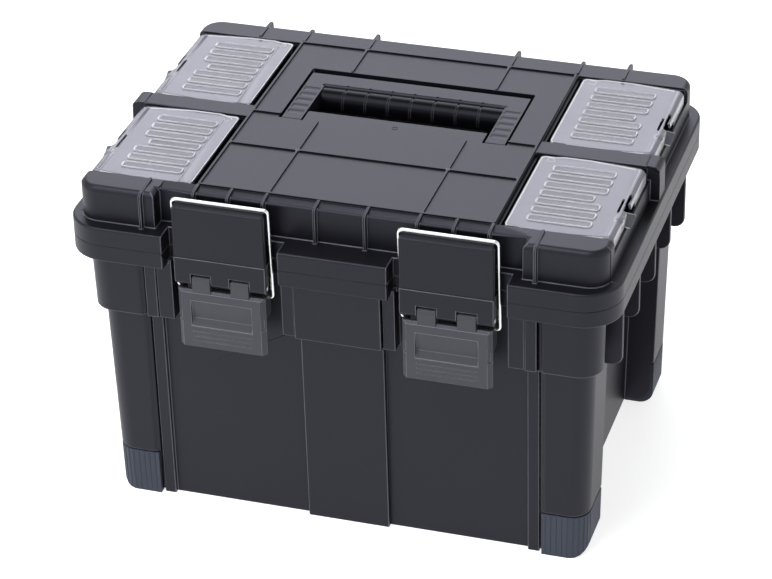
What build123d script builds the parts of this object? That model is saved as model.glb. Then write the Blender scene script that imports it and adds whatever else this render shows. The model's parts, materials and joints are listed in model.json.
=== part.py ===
import os
from build123d import *

os.makedirs("parts", exist_ok=True)

# A closed tool box standing on the floor at Z = 0, with its latches towards -Y.
# All lengths are in millimetres.

# Outline of the flanges where lid and base meet
flange_width = 450
flange_depth = 335
flange_corner = 32
parting_height = 246
base_flange_height = 14.5
lid_flange_height = 15.5
lid_body_height = 30.5
flange_round = 2
parting_round = 0.6
skirt = 3
flange_plate = 3

# Tub of the base
floor_width = 351
floor_depth = 277
wall_lean = 5.3
tub_corner = 6
wall = 3
floor_thickness = 3

# Corner posts, their collars and their feet
post_side_proud = 24.5
post_front_proud = 6.5
post_width = 36.5
post_length = 49
post_corner = 16
post_edge_round = 4
collar_bottom = 179
collar_proud = 6.5
collar_length = 20
foot_height = 41
foot_wall = 3
foot_round = 8
foot_fit = 0.15

# Panel and ribs on the long walls
panel_width = 69
panel_proud = 2.5
band_width = 71.5
band_proud = 15
buttress_place = 153.5
buttress_width = 8
buttress_proud = 4
buttress_foot = 148
latch_rib_width = 9
latch_rib_proud = 12
latch_rib_places = (42.3, 142.5)

# Gusset plates under the flange
gusset_thickness = 3
gusset_bottom = 180
post_gusset_bottom = 170
gusset_setback = 5
gusset_round = 9
side_gusset_pitch = 56.5
rear_gusset_places = (46, 139)

# Latches: gap in the flange, keeper on the lid, mount, lever and bail below it
latch_place = 92.5
latch_gap = 96
latch_gap_depth = 17.5
latch_front_proud = 0.8
keeper_width = 75.6
keeper_thickness = 12.5
keeper_land = 3
keeper_slope = 1.6
keeper_round = 1
keeper_plate = 4
keeper_inset = 1.4
keeper_corner = 1.6
seam = 0.4
knuckle_radius = 4.5
lever_axis_drop = 20.5
lever_tab_start = 8.7
lever_tab_end = 23.5
tab_gap = 0.8
lever_gap = 1.5
mount_pocket = 1.8
lever_pin_radius = 1.5
pin_clearance = 0.05
lever_width = 72.8
lever_length = 58.2
lever_plate = 5
lever_proud = 0.7
lever_top_chamfer = 2
lever_edge_round = 1.2
lever_cheek = 3
lever_cheek_depth = 11.5
lever_cheek_height = 22
lever_panel_width = 51
lever_panel_height = 23.5
lever_panel_drop = 15.7
lever_panel_depth = 2
lever_groove_pitch = 3.4
lever_groove_width = 0.8
lever_groove_depth = 0.6
lever_groove_count = 4
wire_radius = 1.5
bail_pivot_drop = 12
bail_over_centre = 8.3
bail_lean = 5
bail_width = 79.2
bail_bend = 3.5
bail_rest = 0.4
bail_grip = 2.6

# Rear hinge
hinge_place = 92.5
hinge_reach = 6
hinge_knuckle_radius = 5
hinge_pin_radius = 2
lid_knuckle_length = 30
base_knuckle_length = 15
knuckle_gap = 0.5
hinge_arm = 4.6

# Lid body above its flange
lid_body_width = 431
lid_body_depth = 311
lid_body_corner = 17
notch_half_width = 149.5
notch_depth = 13.5
notch_round = 6
bevel_depth = 2
block_lap = 20
lid_edge_round = 5
lid_wall = 3
bridge_width = 19
bridge_reach = 8
bridge_round = 5

# Ribs on the lid
rib_width = 1.8
rib_height = 1.3
fin_width = 2.4
fin_proud = 4.2
rear_fin_proud = 9.5
fin_round = 4
main_rib_place = 120.4
inner_rib_place = 62.7
block_rib_place = 160
short_fin_places = (20.4, 92)
cross_rib_place = 130
middle_rib_place = 57.3

# Handle recess and handle
recess_width = 193.6
recess_front = -5.2
recess_back = 86.3
recess_depth = 40
ledge_width = 152
ledge_reach = 16.7
handle_width = 189
arm_width = 16.5
arm_thickness = 14
handle_sink = 0.5
pivot_place = 2.5
handle_back = 79.5
handle_bar_depth = 14.5
handle_bar_thickness = 11
trunnion_radius = 3
trunnion_reach = 2.6
trunnion_clearance = 0.08
handle_edge_round = 1.5
grip_radius = 10
grip_core_radius = 6
grip_fit = 0.05
grip_rings = 8
grip_ring_gap = 1.6
grip_groove = 0.7
grip_end_gap = 0.3
grip_back_gap = 0.2

# Organiser bins and their clear covers
well_inner = 122
well_start = 9.5
well_end = 130.5
well_sill = 12.5
bin_wall = 2
bin_depth = 26
bin_fit = 0.1
cover_inner = 129.5
cover_fit = 0.6
cover_plate = 2
cover_drop = 1
cover_round = 6
cover_flap = 2
cover_setback = 1.8
flap_gap = 0.6
pintle_radius = 2
pintle_clearance = 0.08
pintle_drop = 6.5
pintle_inset = 2.5
pintle_reach = 1.6
ear_radius = 3.4
ear_width = 3
ear_gap = 0.4
ear_relief = 7
ridge_count = 7
ridge_pitch = 13.6
ridge_length = 54
ridge_width = 8.4
ridge_height = 0.8
ridge_start = 10
tongue_notch = 34
tongue_width = 24
tongue_plate = 2
tongue_drop = 20
tongue_gap = 0.5
tongue_lip = 1.4
tongue_lip_height = 3

# One overrun serves every cut
overrun = 5

# Places worked out from the sizes above
base_flange_bottom = parting_height - base_flange_height
lid_ledge = parting_height + lid_flange_height
lid_top = lid_ledge + lid_body_height
latch_front = -flange_depth / 2 - latch_front_proud
latch_gap_back = -flange_depth / 2 + latch_gap_depth
lever_axis_y = latch_front + knuckle_radius
lever_axis_z = parting_height - lever_axis_drop
lever_front = latch_front - lever_proud
lever_top = lever_axis_z - knuckle_radius - lever_gap
bail_y = lever_axis_y + bail_over_centre
bail_pivot_z = lever_axis_z - bail_pivot_drop
keeper_back = latch_front + keeper_thickness
keeper_top = lid_top
bail_top_z = keeper_top + bail_rest + wire_radius
hinge_y = flange_depth / 2 + hinge_reach
lid_front = lid_body_depth / 2
pivot_z = lid_top - handle_sink - arm_thickness / 2
cover_top = lid_top - cover_drop
cover_outer = lid_body_width / 2 - cover_setback
well_floor_top = lid_top - well_sill
pintle_x = cover_inner + pintle_inset
pintle_z = cover_top - pintle_drop
sides = (-1, 1)
corners = [(side_x, side_y) for side_x in sides for side_y in sides]
side_names = {-1: "left", 1: "right"}
end_names = {-1: "front", 1: "rear"}


def lean_at(height):
    return wall_lean * height / parting_height


def span_box(xs, ys, zs, mode=Mode.ADD):
    # A box between two values along each axis, given in either order.
    lows = [min(pair) for pair in (xs, ys, zs)]
    highs = [max(pair) for pair in (xs, ys, zs)]
    middle = [(low + high) / 2 for low, high in zip(lows, highs)]
    size = [high - low for low, high in zip(lows, highs)]
    with Locations(tuple(middle)):
        Box(*size, mode=mode)


def rod_along_x(start, end, y, z, radius, mode=Mode.ADD):
    with Locations(((start + end) / 2, y, z)):
        Cylinder(radius, abs(end - start), rotation=(0, 90, 0), mode=mode)


def corner_outline(side_x, side_y, low_x, high_x, low_y, high_y, radius, edge_round):
    # A rectangle in one corner of the plan, rounded most at its outer corner.
    with Locations((side_x * (low_x + high_x) / 2, side_y * (low_y + high_y) / 2)):
        Rectangle(high_x - low_x, high_y - low_y)
    by_distance = vertices().sort_by_distance((0, 0, 0))
    fillet(by_distance[-1], radius)
    if edge_round:
        fillet(vertices().filter_by_position(Axis.X, side_x * low_x, side_x * low_x)
               .sort_by_distance((0, 0, 0))[-1], edge_round)


def post_outline(side_x, side_y, height, grow, edge_round=0):
    # Plan of a corner post at a height, grown on its two outer faces.
    high_x = floor_width / 2 + post_side_proud + lean_at(height) + grow
    high_y = floor_depth / 2 + post_front_proud + lean_at(height) + grow
    low_x = floor_width / 2 + post_side_proud - post_width
    low_y = floor_depth / 2 + post_front_proud - post_length
    corner_outline(side_x, side_y, low_x, high_x, low_y, high_y, post_corner + grow, edge_round)


def collar_outline(side_x, side_y, height):
    # Plan of a post's collar, which is shorter along the side than the post.
    high_x = floor_width / 2 + post_side_proud + lean_at(height) + collar_proud
    high_y = floor_depth / 2 + post_front_proud + lean_at(height) + collar_proud
    low_x = floor_width / 2 + post_side_proud - post_width
    corner_outline(side_x, side_y, low_x, high_x, high_y - collar_length, high_y,
                   post_corner + collar_proud / 2, post_edge_round)


def post_cavity_outline(side_x, side_y, height):
    inset = foot_wall + wall
    high_x = floor_width / 2 + post_side_proud + lean_at(height) - inset
    high_y = floor_depth / 2 + post_front_proud + lean_at(height) - inset
    low_x = floor_width / 2 + post_side_proud - post_width + wall
    low_y = floor_depth / 2 + post_front_proud - post_length + wall
    corner_outline(side_x, side_y, low_x, high_x, low_y, high_y, post_corner - inset, 0)


def pocket_outline():
    # Hollow under a flange, leaving its skirt and the walls round each latch gap.
    RectangleRounded(flange_width - 2 * skirt, flange_depth - 2 * skirt, flange_corner - skirt)
    with Locations(*[(side * latch_place, -flange_depth / 2) for side in sides]):
        Rectangle(latch_gap + 2 * skirt, 2 * (latch_gap_depth + skirt), mode=Mode.SUBTRACT)


def wall_strip(place, width, prouds, heights, end):
    # Plan rectangles of a strip that stands proud of a long wall, at two heights.
    plans = []
    for proud, height in zip(prouds, heights):
        reach = floor_depth / 2 + lean_at(height) + proud
        depth = proud + wall
        with BuildSketch(Plane.XY.offset(height)) as strip_plan:
            with Locations((place, end * (reach - depth / 2))):
                Rectangle(width, depth)
        plans.append(strip_plan.sketch)
    return plans


def outer_corners():
    return vertices().filter_by(lambda corner: abs(corner.X) > notch_half_width + notch_round)


# Base shell: flange, tub, posts, collars, ribs and gussets
with BuildPart() as base:
    with BuildSketch(Plane.XY.offset(base_flange_bottom)):
        RectangleRounded(flange_width, flange_depth, flange_corner)
    extrude(amount=base_flange_height)
    fillet(base.faces().sort_by(Axis.Z)[0].edges(), flange_round)
    fillet(base.faces().sort_by(Axis.Z)[-1].edges(), parting_round)
    with BuildSketch(Plane.XY.offset(base_flange_bottom)):
        pocket_outline()
    extrude(amount=base_flange_height - flange_plate, mode=Mode.SUBTRACT)
    for side in sides:
        span_box((side * latch_place - latch_gap / 2, side * latch_place + latch_gap / 2),
                 (-flange_depth / 2 - overrun, latch_gap_back),
                 (base_flange_bottom - overrun, parting_height + overrun), Mode.SUBTRACT)
    # Tub walls lean out towards the top
    with BuildSketch():
        RectangleRounded(floor_width, floor_depth, tub_corner)
    with BuildSketch(Plane.XY.offset(parting_height)):
        RectangleRounded(floor_width + 2 * wall_lean, floor_depth + 2 * wall_lean, tub_corner)
    loft(ruled=True)
    # Posts: slimmer inside the feet, full above them, with a collar under the flange
    for side_x, side_y in corners:
        with BuildSketch(Plane.XY.offset(foot_wall)):
            post_outline(side_x, side_y, foot_wall, -foot_wall)
        with BuildSketch(Plane.XY.offset(foot_height)):
            post_outline(side_x, side_y, foot_height, -foot_wall)
        loft(ruled=True)
        with BuildSketch(Plane.XY.offset(foot_height)):
            post_outline(side_x, side_y, foot_height, 0, post_edge_round)
        with BuildSketch(Plane.XY.offset(parting_height)):
            post_outline(side_x, side_y, parting_height, 0, post_edge_round)
        loft(ruled=True)
        with BuildSketch(Plane.XY.offset(collar_bottom)):
            collar_outline(side_x, side_y, collar_bottom)
        with BuildSketch(Plane.XY.offset(base_flange_bottom + flange_round)):
            collar_outline(side_x, side_y, base_flange_bottom)
        loft(ruled=True)
    # Middle panel with its band, the ribs beside the latches and the buttresses, front and rear
    strip_top = base_flange_bottom + skirt
    upper_proud = band_proud - flange_round
    strips = [
        (0, panel_width, (panel_proud, panel_proud), (0, collar_bottom)),
        (0, band_width, (band_proud, band_proud), (collar_bottom, strip_top)),
    ]
    for side in sides:
        place = side * buttress_place
        strips += [
            (place, buttress_width, (buttress_proud, buttress_proud), (0, buttress_foot)),
            (place, buttress_width, (buttress_proud, upper_proud), (buttress_foot, collar_bottom)),
            (place, buttress_width, (upper_proud, upper_proud), (collar_bottom, strip_top)),
        ]
        for rib_place in latch_rib_places:
            strips += [(side * rib_place, latch_rib_width, (latch_rib_proud, latch_rib_proud),
                        (collar_bottom, strip_top))]
    for end in sides:
        for place, width, prouds, heights in strips:
            loft(wall_strip(place, width, prouds, heights, end), ruled=True)
    # Gusset plates under the flange, rounded at the lower outer corner
    for side in sides:
        for step in range(-2, 3):
            low = post_gusset_bottom if abs(step) == 2 else gusset_bottom
            with BuildSketch(Plane.XZ.offset(-step * side_gusset_pitch)):
                with Locations((side * (floor_width / 2 + flange_width / 2 - gusset_setback) / 2,
                                (low + strip_top) / 2)):
                    Rectangle(flange_width / 2 - gusset_setback - floor_width / 2, strip_top - low)
                fillet(vertices().group_by(Axis.Y)[0].sort_by(Axis.X)[-1 if side > 0 else 0], gusset_round)
            extrude(amount=gusset_thickness / 2, both=True)
        for place in rear_gusset_places:
            with BuildSketch(Plane.YZ.offset(side * place)):
                with Locations(((floor_depth / 2 + flange_depth / 2 - gusset_setback) / 2,
                                (gusset_bottom + strip_top) / 2)):
                    Rectangle(flange_depth / 2 - gusset_setback - floor_depth / 2, strip_top - gusset_bottom)
                fillet(vertices().group_by(Axis.Y)[0].sort_by(Axis.X)[-1], gusset_round)
            extrude(amount=gusset_thickness / 2, both=True)
    # Inside of the tub and of the posts
    with BuildSketch(Plane.XY.offset(floor_thickness)):
        RectangleRounded(floor_width - 2 * wall, floor_depth - 2 * wall, tub_corner - wall)
    with BuildSketch(Plane.XY.offset(parting_height)):
        RectangleRounded(floor_width + 2 * wall_lean - 2 * wall, floor_depth + 2 * wall_lean - 2 * wall,
                         tub_corner - wall)
    loft(ruled=True, mode=Mode.SUBTRACT)
    for side_x, side_y in corners:
        with BuildSketch(Plane.XY.offset(foot_wall + wall)):
            post_cavity_outline(side_x, side_y, foot_wall + wall)
        with BuildSketch(Plane.XY.offset(parting_height)):
            post_cavity_outline(side_x, side_y, parting_height)
        loft(ruled=True, mode=Mode.SUBTRACT)
    # Rear hinge knuckles, each on an arm below the parting line
    for side in sides:
        for hand in sides:
            near = side * hinge_place + hand * (lid_knuckle_length / 2 + knuckle_gap)
            far = near + hand * base_knuckle_length
            rod_along_x(near, far, hinge_y, parting_height, hinge_knuckle_radius)
            span_box((near, far), (flange_depth / 2 - skirt, hinge_y),
                     (parting_height - knuckle_gap - hinge_arm, parting_height - knuckle_gap))
            rod_along_x(near - hand * overrun, far + hand * overrun, hinge_y, parting_height,
                        hinge_pin_radius + pin_clearance, Mode.SUBTRACT)
base.part.label = "base_shell"
export_step(base.part, "parts/base_shell.step")

# Corner feet, wrapped round the two outer faces and the bottom of each post
for side_x, side_y in corners:
    with BuildPart() as foot:
        with BuildSketch():
            post_outline(side_x, side_y, 0, 0)
        with BuildSketch(Plane.XY.offset(foot_height - foot_fit)):
            post_outline(side_x, side_y, foot_height, 0)
        loft(ruled=True)
        # Only the bottom edges on the outside of the box are rounded
        fillet(foot.faces().sort_by(Axis.Z)[0].edges().sort_by_distance((0, 0, 0))[-3:], foot_round)
        with BuildSketch(Plane.XY.offset(foot_wall - foot_fit)):
            post_outline(side_x, side_y, foot_wall, foot_fit - foot_wall)
        with BuildSketch(Plane.XY.offset(foot_height)):
            post_outline(side_x, side_y, foot_height, foot_fit - foot_wall)
        loft(ruled=True, mode=Mode.SUBTRACT)
        # The foot stops short of the tub's own floor
        with BuildSketch():
            RectangleRounded(floor_width + 2 * foot_fit, floor_depth + 2 * foot_fit, tub_corner)
        with BuildSketch(Plane.XY.offset(parting_height)):
            grow = wall_lean + foot_fit
            RectangleRounded(floor_width + 2 * grow, floor_depth + 2 * grow, tub_corner)
        loft(ruled=True, mode=Mode.SUBTRACT)
    foot_name = f"{end_names[side_y]}_{side_names[side_x]}_foot"
    foot.part.label = foot_name
    export_step(foot.part, f"parts/{foot_name}.step")

# Lid flange with its skirt, and the gaps for the latches
with BuildPart() as lid_flange:
    with BuildSketch(Plane.XY.offset(parting_height)):
        RectangleRounded(flange_width, flange_depth, flange_corner)
    extrude(amount=lid_flange_height)
    fillet(lid_flange.faces().sort_by(Axis.Z)[-1].edges(), flange_round)
    fillet(lid_flange.faces().sort_by(Axis.Z)[0].edges(), parting_round)
    with BuildSketch(Plane.XY.offset(parting_height)):
        pocket_outline()
    extrude(amount=lid_flange_height - flange_plate, mode=Mode.SUBTRACT)
    for side in sides:
        span_box((side * latch_place - latch_gap / 2, side * latch_place + latch_gap / 2),
                 (-flange_depth / 2 - overrun, latch_gap_back),
                 (parting_height - overrun, lid_ledge + overrun), Mode.SUBTRACT)

# Blocks that stand forward at the two front corners of the lid
lid_body_bottom = lid_ledge - flange_plate
front_blocks = []
for side in sides:
    with BuildPart() as front_block:
        with BuildSketch(Plane.XY.offset(lid_body_bottom)):
            with Locations((side * (notch_half_width + lid_body_width / 2) / 2, block_lap / 2 - lid_front)):
                Rectangle(lid_body_width / 2 - notch_half_width, block_lap)
            front_corners = vertices().group_by(Axis.Y)[0].sort_by_distance((0, 0, 0))
            fillet(front_corners[-1], lid_body_corner)
            fillet(front_corners[0], notch_round)
        extrude(amount=lid_top - lid_body_bottom)
        fillet(front_block.faces().sort_by(Axis.Z)[-1].edges().sort_by(Axis.Y)[:-1], lid_edge_round)
    front_blocks.append(front_block.part)

# Lid shell
recess_floor = lid_top - recess_depth
wall_inset = lid_front - notch_depth
with BuildPart() as lid:
    # Body above the flange, with a rounded rear and a low bevel along its front edge
    with BuildSketch(Plane.XY.offset(lid_body_bottom)):
        with Locations((0, notch_depth / 2)):
            Rectangle(lid_body_width, lid_body_depth - notch_depth)
        fillet(vertices().group_by(Axis.Y)[-1], lid_body_corner)
    extrude(amount=lid_top - lid_body_bottom)
    fillet(lid.faces().sort_by(Axis.Z)[-1].edges().sort_by(Axis.Y)[1:], lid_edge_round)
    with BuildSketch(Plane.YZ.offset(-notch_half_width)):
        with BuildLine():
            Polyline(
                (-cross_rib_place, lid_top),
                (-wall_inset, lid_top - bevel_depth),
                (-wall_inset, lid_top),
                close=True,
            )
        make_face()
    extrude(amount=2 * notch_half_width, mode=Mode.SUBTRACT)
    add(front_blocks)
    # Flange all round
    add(lid_flange.part)
    # Hollow underside
    with BuildSketch(Plane.XY.offset(lid_body_bottom - overrun)):
        Rectangle(lid_body_width - 2 * lid_wall, lid_body_depth - 2 * lid_wall)
        with Locations((0, -lid_front)):
            Rectangle(2 * (notch_half_width + lid_wall), 2 * (notch_depth + lid_wall), mode=Mode.SUBTRACT)
        fillet(outer_corners(), lid_body_corner - lid_wall)
    extrude(amount=lid_top - lid_wall - lid_body_bottom + overrun, mode=Mode.SUBTRACT)
    # Handle recess: a tub hanging from the top, with a ledge between the arm slots
    span_box((-recess_width / 2 - lid_wall, recess_width / 2 + lid_wall),
             (recess_front - lid_wall, recess_back + lid_wall), (recess_floor - lid_wall, lid_top))
    with BuildSketch(Plane.XY.offset(recess_floor)):
        with Locations((0, (recess_front + recess_back) / 2)):
            Rectangle(recess_width, recess_back - recess_front)
        with Locations((0, recess_front)):
            Rectangle(ledge_width, 2 * ledge_reach, mode=Mode.SUBTRACT)
    extrude(amount=recess_depth + overrun, mode=Mode.SUBTRACT)
    span_box((-ledge_width / 2 + lid_wall, ledge_width / 2 - lid_wall),
             (recess_front - lid_wall - overrun, recess_front + ledge_reach - lid_wall),
             (recess_floor - lid_wall - overrun, lid_top - lid_wall), Mode.SUBTRACT)
    rod_along_x(-recess_width / 2 - lid_wall - overrun, recess_width / 2 + lid_wall + overrun, pivot_place,
                pivot_z, trunnion_radius + trunnion_clearance, Mode.SUBTRACT)
    # Organiser openings, and the bridge that stands out between each pair
    for side_x, side_y in corners:
        span_box((side_x * well_inner, side_x * (lid_body_width / 2 + overrun)),
                 (side_y * well_start, side_y * well_end), (well_floor_top, lid_top + overrun), Mode.SUBTRACT)
    for side in sides:
        bridge_outer = lid_body_width / 2 + bridge_reach
        with BuildSketch(Plane.XZ.offset(-bridge_width / 2)):
            bridge_middle = (bridge_outer + lid_body_width / 2 - lid_wall) / 2
            with Locations((side * bridge_middle, (lid_ledge + lid_top) / 2)):
                Rectangle(bridge_reach + lid_wall, lid_top - lid_ledge)
            fillet(vertices().group_by(Axis.Y)[-1].sort_by(Axis.X)[-1 if side > 0 else 0], bridge_round)
        extrude(amount=bridge_width)
    # Ribs on the top panel
    for side in sides:
        span_box((side * main_rib_place - rib_width / 2, side * main_rib_place + rib_width / 2),
                 (-cross_rib_place, cross_rib_place), (lid_top - lid_wall, lid_top + rib_height))
        for start, end in ((-cross_rib_place, recess_front), (recess_back, cross_rib_place)):
            span_box((side * inner_rib_place - rib_width / 2, side * inner_rib_place + rib_width / 2),
                     (start, end), (lid_top - lid_wall, lid_top + rib_height))
        span_box((side * recess_width / 2, side * main_rib_place), (-rib_width / 2, rib_width / 2),
                 (lid_top - lid_wall, lid_top + rib_height))
    for place in (cross_rib_place, -middle_rib_place, -cross_rib_place):
        span_box((-main_rib_place, main_rib_place), (place - rib_width / 2, place + rib_width / 2),
                 (lid_top - lid_wall, lid_top + rib_height))
    # Fins that carry the ribs over the edge and down the wall
    fin_rows = [(-1, wall_inset + fin_proud, place)
                for place in (main_rib_place, inner_rib_place, *short_fin_places)]
    fin_rows += [(-1, lid_front + fin_proud, block_rib_place), (1, lid_front + fin_proud, main_rib_place)]
    fin_rows += [(1, lid_front + rear_fin_proud, place) for place in (block_rib_place, inner_rib_place)]
    fin_start = well_end + rib_width / 2
    for end, reach, place in fin_rows:
        fin_root = reach - rear_fin_proud - lid_wall
        for side in sides:
            with BuildSketch(Plane.YZ.offset(side * place)):
                with BuildLine():
                    Polyline(
                        (end * fin_start, lid_top - lid_wall),
                        (end * fin_start, lid_top + rib_height),
                        (end * reach, lid_top),
                        (end * reach, lid_ledge),
                        (end * fin_root, lid_ledge),
                        (end * fin_root, lid_top - lid_wall),
                        close=True,
                    )
                make_face()
                fillet(vertices().sort_by_distance((end * reach, lid_top, 0))[0], fin_round)
            extrude(amount=fin_width / 2, both=True)
    # Hinge knuckle on an arm above the parting line
    for side in sides:
        near = side * hinge_place - lid_knuckle_length / 2
        far = side * hinge_place + lid_knuckle_length / 2
        rod_along_x(near, far, hinge_y, parting_height, hinge_knuckle_radius)
        span_box((near, far), (flange_depth / 2 - skirt, hinge_y),
                 (parting_height + knuckle_gap, parting_height + knuckle_gap + hinge_arm))
        rod_along_x(near - overrun, far + overrun, hinge_y, parting_height,
                    hinge_pin_radius + pin_clearance, Mode.SUBTRACT)
lid.part.label = "lid_shell"
export_step(lid.part, "parts/lid_shell.step")

# Rear hinge pins
for side in sides:
    half_length = lid_knuckle_length / 2 + knuckle_gap + base_knuckle_length
    with BuildPart() as hinge_pin:
        rod_along_x(side * hinge_place - half_length, side * hinge_place + half_length, hinge_y,
                    parting_height, hinge_pin_radius)
    pin_name = f"{side_names[side]}_hinge_pin"
    hinge_pin.part.label = pin_name
    export_step(hinge_pin.part, f"parts/{pin_name}.step")

# Latch parts, once for each side
for side in sides:
    middle = side * latch_place
    hand = side_names[side]

    # Keeper: a wide front plate on a narrower block, whose top slopes forward under the bail
    keeper_plate_back = latch_front + keeper_plate
    keeper_ridge = keeper_back - keeper_land
    plate_top = keeper_top - keeper_slope * (keeper_ridge - keeper_plate_back) / (keeper_ridge - latch_front)
    with BuildPart() as keeper:
        with BuildSketch(Plane.YZ.offset(middle)):
            with BuildLine():
                Polyline(
                    (latch_front, parting_height + seam),
                    (latch_front, keeper_top - keeper_slope),
                    (keeper_plate_back, plate_top),
                    (keeper_plate_back, parting_height + seam),
                    close=True,
                )
            make_face()
        extrude(amount=keeper_width / 2, both=True)
        fillet(keeper.edges().sort_by(Axis.Z)[-3:-1], keeper_corner)
        fillet(keeper.faces().sort_by(Axis.Y)[0].edges(), keeper_round)
        with BuildSketch(Plane.YZ.offset(middle)):
            with BuildLine():
                Polyline(
                    (keeper_plate_back, parting_height + seam),
                    (keeper_plate_back, plate_top),
                    (keeper_ridge, keeper_top),
                    (keeper_back, keeper_top),
                    (keeper_back, lid_ledge),
                    (latch_gap_back, lid_ledge),
                    (latch_gap_back, parting_height + seam),
                    close=True,
                )
            make_face()
        extrude(amount=keeper_width / 2 - keeper_inset, both=True)
    keeper.part.label = f"{hand}_latch_keeper"
    export_step(keeper.part, f"parts/{hand}_latch_keeper.step")

    # Mount: a block on the base with three hinge knuckles along its lower edge
    mount_bottom = lever_axis_z + knuckle_radius + mount_pocket
    knuckle_spans = [
        (-keeper_width / 2, -lever_tab_end - tab_gap),
        (-lever_tab_start + tab_gap, lever_tab_start - tab_gap),
        (lever_tab_end + tab_gap, keeper_width / 2),
    ]
    with BuildPart() as mount:
        span_box((middle - keeper_width / 2, middle + keeper_width / 2), (latch_front, latch_gap_back),
                 (mount_bottom, parting_height))
        for start, end in knuckle_spans:
            rod_along_x(middle + start, middle + end, lever_axis_y, lever_axis_z, knuckle_radius)
            span_box((middle + start, middle + end), (latch_front, lever_axis_y + knuckle_radius),
                     (lever_axis_z, mount_bottom))
        rod_along_x(middle - keeper_width, middle + keeper_width, lever_axis_y, lever_axis_z,
                    lever_pin_radius + pin_clearance, Mode.SUBTRACT)
    mount.part.label = f"{hand}_latch_mount"
    export_step(mount.part, f"parts/{hand}_latch_mount.step")

    with BuildPart() as lever_pin:
        rod_along_x(middle - keeper_width / 2, middle + keeper_width / 2, lever_axis_y, lever_axis_z,
                    lever_pin_radius)
    lever_pin.part.label = f"{hand}_lever_pin"
    export_step(lever_pin.part, f"parts/{hand}_lever_pin.step")

    # Lever: a plate with a sunk panel and grip grooves, cheeks for the bail and two hinge tabs
    lever_bottom = lever_top - lever_length + knuckle_radius
    lever_back = lever_front + lever_plate
    with BuildPart() as lever:
        span_box((middle - lever_width / 2, middle + lever_width / 2), (lever_front, lever_back),
                 (lever_bottom, lever_top))
        front_edges = lever.faces().sort_by(Axis.Y)[0].edges()
        chamfer(front_edges.sort_by(Axis.Z)[-1], lever_top_chamfer)
        fillet(lever.faces().sort_by(Axis.Y)[0].edges().sort_by(Axis.Z)[:-1], lever_edge_round)
        panel_top = lever_top - lever_panel_drop + knuckle_radius
        span_box((middle - lever_panel_width / 2, middle + lever_panel_width / 2),
                 (lever_front - overrun, lever_front + lever_panel_depth),
                 (panel_top - lever_panel_height, panel_top), Mode.SUBTRACT)
        for step in range(lever_groove_count):
            groove_z = panel_top - lever_panel_height - (step + 1) * lever_groove_pitch
            span_box((middle - lever_panel_width / 2, middle + lever_panel_width / 2),
                     (lever_front - overrun, lever_front + lever_groove_depth),
                     (groove_z, groove_z + lever_groove_width), Mode.SUBTRACT)
        for turn in sides:
            edge = middle + turn * lever_width / 2
            span_box((edge, edge - turn * lever_cheek), (lever_back, lever_back + lever_cheek_depth),
                     (lever_top - lever_cheek_height, lever_top))
            start = middle + turn * lever_tab_start
            end = middle + turn * lever_tab_end
            rod_along_x(start, end, lever_axis_y, lever_axis_z, knuckle_radius)
            span_box((start, end), (latch_front, lever_axis_y + knuckle_radius), (lever_top, lever_axis_z))
        rod_along_x(middle - keeper_width, middle + keeper_width, lever_axis_y, lever_axis_z,
                    lever_pin_radius + pin_clearance, Mode.SUBTRACT)
        rod_along_x(middle - keeper_width, middle + keeper_width, bail_y, bail_pivot_z,
                    wire_radius + pin_clearance, Mode.SUBTRACT)
    lever.part.label = f"{hand}_latch_lever"
    export_step(lever.part, f"parts/{hand}_latch_lever.step")

    # Bail: one length of wire, leaning over the keeper and turned in at both feet
    bail_rise = bail_top_z - bail_pivot_z
    bail_height = (bail_rise ** 2 + bail_lean ** 2) ** 0.5
    bail_plane = Plane((middle, bail_y, bail_pivot_z), x_dir=(1, 0, 0), z_dir=(0, -bail_rise, -bail_lean))
    with BuildPart() as bail:
        with BuildLine(bail_plane) as bail_route:
            FilletPolyline(
                (bail_grip - lever_width / 2, 0),
                (-bail_width / 2, 0),
                (-bail_width / 2, bail_height),
                (bail_width / 2, bail_height),
                (bail_width / 2, 0),
                (lever_width / 2 - bail_grip, 0),
                radius=(wire_radius * 2, bail_bend, bail_bend, wire_radius * 2),
            )
        with BuildSketch(bail_route.line ^ 0):
            Circle(wire_radius)
        sweep(path=bail_route.line)
    bail.part.label = f"{hand}_latch_bail"
    export_step(bail.part, f"parts/{hand}_latch_bail.step")

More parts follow.
